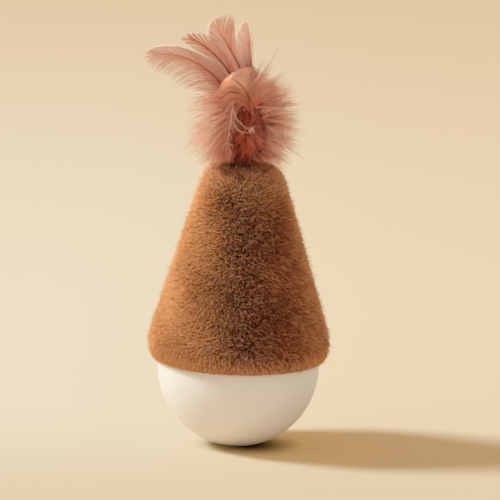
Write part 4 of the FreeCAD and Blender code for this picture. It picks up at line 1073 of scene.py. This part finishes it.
def makeDown():
    plan = downPlan
    draw = np.random.default_rng(plan["seed"])
    sets = [makeLocks(draw, plan, group) for group in plan["groups"].values()]
    start, aim, reach, droop, wave, tone = joinSets(sets)
    locks = len(reach)
    fall = np.array([[0, 0, -1.0]])
    reach, droop = reach[:, None], droop[:, None]
    bend = plan["bend"] * flowNoise(aim * plan["aimWeight"] + start, plan["flow"], plan["flowSeed"])
    bend = (bend + draw.normal(0, plan["bendSpread"], (locks, 3))) * wave[:, None]
    first = start + aim * reach * 0.34 - fall * (0.5 + 0.12 * droop) + bend * 0.5
    second = start + aim * reach * 0.70 + fall * droop * 0.30 - bend
    end = start + aim * reach + fall * droop + bend * 0.5

    own = np.repeat(np.arange(locks), plan["hairs"])
    count = len(own)
    place = draw.normal(0, 1, (count, 3))
    low, high = plan["open"]
    controls = [line[own] + place * (low + (high - low) * t) + draw.normal(0, plan["hairSpread"], (count, 3))
                for line, t in ((start, 0.0), (first, 0.35), (second, 0.7), (end, 1.0))]
    controls[3] = controls[2] + (controls[3] - controls[2]) * between(draw, plan["endReach"], count)[:, None]
    steps = np.linspace(0, 1, plan["points"])
    paths = curveAt(controls, steps)
    away = np.linalg.norm(paths[..., :2], axis=-1)
    # the strands rest on the crown and hang over its edge
    lowest = plan["lowest"] + between(draw, plan["lowestSpread"], (count, 1))
    lowest = lowest - plan["dip"] * (1 - smoothStep(away, *plan["dipRange"]))
    lowest = lowest - plan["hang"] * smoothStep(away, *plan["hangRange"])
    height = paths[..., 2]
    paths[..., 2] = np.where(height < lowest, lowest + (height - lowest) * plan["press"], height)
    taper = np.interp(steps, (0, plan["thinStart"], 1), (1, 1, plan["thin"]))
    widths = plan["width"] * between(draw, plan["widthSpread"], count)[:, None] * taper
    shade = np.clip(tone[own] + draw.normal(0, plan["hairTone"], count), *plan["shadeLimits"])
    frosted = (draw.uniform(size=count) < plan["frost"]) & (tone[own] > plan["frostFrom"])
    shade = np.where(frosted, plan["frostTone"], shade)
    # barbs take darker, redder root colours towards the middle of the plume: painted shade inside the plume
    away = (paths[..., :2] - np.array(plan["axis"])) * (1, plan["depthY"])
    along = np.clip(np.linalg.norm(away, axis=-1) / plan["depth"], 0, 1)

    right, behind = aim[own][:, 0] >= 0, aim[own][:, 1] >= 0
    outer = np.arange(count) % 2 == 0
    for name, node, chosen in (("downBackRight", "down_back_right", right & behind),
                               ("downBackLeft", "down_back_left", ~right & behind),
                               ("downFrontLeft", "down_front_left", ~right & ~behind),
                               ("downFrontRight", "down_front_right", right & ~behind)):
        for layer, half in (("Outer", outer), ("Inner", ~outer)):
            both = chosen & half
            strandPiece(name + layer, paths[both], widths[both], shade[both], along[both])
            finishObject(name + layer, "plume", "dyed_down", downBarbs, node)
    print("down strands:", count)


makeDown()


# Wisps: bare shafts with short barbs that lie over the down
# left and right: the lengths of the barbs on those sides, seen from the front

wispShared = dict(
    scatter=10, curl=0.4, barbWidth=0.15, shaftPoints=24, shaftTaper=0.35, paleFrom=0.4, points=6,
    firstBarb=0.02, aheadStep=0.01, tipShort=0.5, wide=1.3, narrow=0.9, flat=(1, 0.4, 1), curlLength=8,
    tipSpread=0.08, tipBack=0.012, taper=[[1.0, 0.95, 0.85, 0.7, 0.5, 0.25]], shade=0.16,
    shadeLimits=(0.03, 0.96), shaftAlong=0.7, barbAlong=0.6)
wispPlan = dict(
    frontWisp=dict(
        node="down_front_left", barbs=130, left=(6, 17), right=(2, 7), angle=34, curl=1.3, shaft=0.50,
        tone=0.60, shaftTone=0.74, seed=81,
        line=[
            (-5.0, -14.0, 153.4), (-5.7, -15.5, 148.3), (-6.0, -16.0, 144.9), (-6.6, -15.5, 140.4),
            (-7.4, -15.0, 137.0), (-6.4, -14.0, 133.5), (-5.2, -12.5, 130.3)]),
    secondWisp=dict(
        node="down_front_left", barbs=26, left=(1.5, 3.5), right=(1.5, 3.0), angle=26, shaft=0.36, tone=0.55,
        shaftTone=0.62, seed=82,
        line=[
            (-5.2, -14.8, 151.4), (-4.6, -15.3, 148.6), (-2.9, -15.5, 146.0), (-0.6, -15.5, 143.6),
            (2.2, -15.0, 141.7)]),
    thirdWisp=dict(
        node="down_front_left", barbs=30, left=(1.5, 4.0), right=(1.0, 3.0), angle=30, shaft=0.30, tone=0.50,
        shaftTone=0.58, seed=83,
        line=[
            (-5.9, -15.6, 147.0), (-4.6, -15.8, 144.2), (-2.6, -15.6, 141.8), (0.0, -15.3, 140.6),
            (2.3, -15.0, 140.5)]),
    paleKnot=dict(
        node="down_front_right", barbs=40, left=(1.0, 3.4), right=(1.0, 4.2), angle=70, scatter=70, curl=1.6,
        barbWidth=0.17, shaft=0.22, tone=0.80, shaftTone=0.70, seed=84,
        line=[(3.2, -14.8, 143.0), (3.1, -15.3, 142.0), (3.0, -15.0, 141.0)]),
    rightWisp=dict(
        node="down_front_right", barbs=90, left=(2.0, 5.0), right=(3.0, 9.0), angle=48, shaft=0.24,
        tone=0.62, shaftTone=0.78, seed=85,
        line=[(10.6, -11.5, 140.5), (10.4, -11.0, 136.5), (9.9, -10.0, 132.9), (8.6, -8.0, 129.5)]),
    longHair=dict(
        node="down_back_right", barbs=6, left=(3, 6), right=(3, 6), angle=8, shaft=0.24, tone=0.10,
        shaftTone=0.15, seed=86, line=[(4.0, 1.0, 148.0), (8.3, 1.0, 163.8), (14.1, 1.0, 176.0)]),
    palerHair=dict(
        node="down_back_right", barbs=6, left=(3, 7), right=(3, 7), angle=8, shaft=0.16, tone=0.55,
        shaftTone=0.50, seed=87, line=[(4.0, 1.0, 148.0), (9.4, 1.5, 163.0), (12.4, 1.5, 170.0)]),
    looseThread=dict(
        node="down_back_right", barbs=4, left=(2, 3), right=(2, 3), angle=20, shaft=0.20, tone=0.80,
        shaftTone=0.90, seed=88, line=[(11.0, -6.0, 132.0), (14.4, -6.3, 128.2), (16.5, -6.5, 124.6)]),
    sideWisp=dict(
        node="feather_upright", barbs=16, left=(2, 5), right=(1, 3), angle=5, shaft=0.22, tone=0.45,
        shaftTone=0.45, seed=89,
        line=[(2.5, 2.0, 158.0), (3.2, 2.2, 167.3), (2.9, 2.4, 174.0), (2.0, 2.6, 181.5)]))


def makeWisp(name, plan):
    draw = np.random.default_rng(plan["seed"])
    slot = "dyed_feather" if plan["node"].startswith("feather") else "dyed_down"
    line = softLine(plan["line"], rounds=200)
    points = plan["shaftPoints"]
    widths = plan["shaft"] * np.linspace(1, plan["shaftTaper"], points)
    strandPiece(name + "Shaft", lineAt(line, np.linspace(0, 1, points))[None], widths[None],
                np.array([plan["shaftTone"]]), np.linspace(plan["shaftAlong"], 1, points)[None])
    material = downBarbs if plan["shaftTone"] > plan["paleFrom"] else quillHorn
    finishObject(name + "Shaft", "plume", slot, material, plan["node"])

    count = plan["barbs"]
    order = np.sort(draw.uniform(plan["firstBarb"], 1, count))
    root = lineAt(line, order)
    ahead = unit(lineAt(line, order + plan["aheadStep"]) - lineAt(line, order - plan["aheadStep"]))
    toLeft = draw.uniform(size=count) < plan["left"][1] / (plan["left"][1] + plan["right"][1])
    across = unit(np.cross(ahead, np.array([[0, 1.0, 0]])))
    across *= np.where((across[:, 0] < 0) == toLeft, 1.0, -1.0)[:, None]
    length = np.where(toLeft, between(draw, plan["left"], count), between(draw, plan["right"], count))
    length = length[:, None] * (1 - plan["tipShort"] * order[:, None])
    spread = np.radians(plan["angle"] + draw.normal(0, plan["scatter"], count))[:, None]
    wide, narrow = spread * plan["wide"], spread * plan["narrow"]
    middle = root + (ahead * np.cos(wide) + across * np.sin(wide)) * length * 0.5
    middle += draw.normal(0, plan["curl"], (count, 3)) * plan["flat"] * length / plan["curlLength"]
    tip = root + (ahead * np.cos(narrow) + across * np.sin(narrow)) * length
    tip += draw.normal(0, plan["tipSpread"], (count, 3)) * length
    tip[:, 1] += plan["tipBack"] * length[:, 0] ** 2
    paths = curveAt([root, middle, tip], np.linspace(0, 1, plan["points"]))
    widths = plan["barbWidth"] * np.array(plan["taper"]).repeat(count, axis=0)
    shade = np.clip(plan["tone"] + draw.normal(0, plan["shade"], count), *plan["shadeLimits"])
    along = np.tile(np.linspace(plan["barbAlong"], 1, plan["points"]), (count, 1))
    strandPiece(name, paths, widths, shade, along)
    finishObject(name, "plume", slot, downBarbs, plan["node"])


for wispName, wispData in wispPlan.items():
    makeWisp(wispName, wispShared | wispData)


# The winding that ties the quills

windingPlan = dict(
    radius=2.2, thread=0.28, low=131.75, high=135.85, turns=14, perTurn=20, uneven=0.06, unevenTurn=0.37,
    tone=0.4)


def makeWinding():
    plan = windingPlan
    total = plan["turns"] * plan["perTurn"]
    t = np.linspace(0, 1, total + 1)
    angle = t * plan["turns"] * 2 * math.pi
    radius = plan["radius"] + plan["uneven"] * np.sin(angle * plan["unevenTurn"])
    height = plan["low"] + (plan["high"] - plan["low"]) * t
    path = np.stack([radius * np.cos(angle), radius * np.sin(angle), height], 1)
    widths = np.full((1, total + 1), plan["thread"])
    strandPiece("bindingWinding", path[None], widths, np.array([plan["tone"]]), t[None])
    finishObject("bindingWinding", "plume", "dyed_thread", dyedThread, "binding_thread")


makeWinding()
print("plume ready")
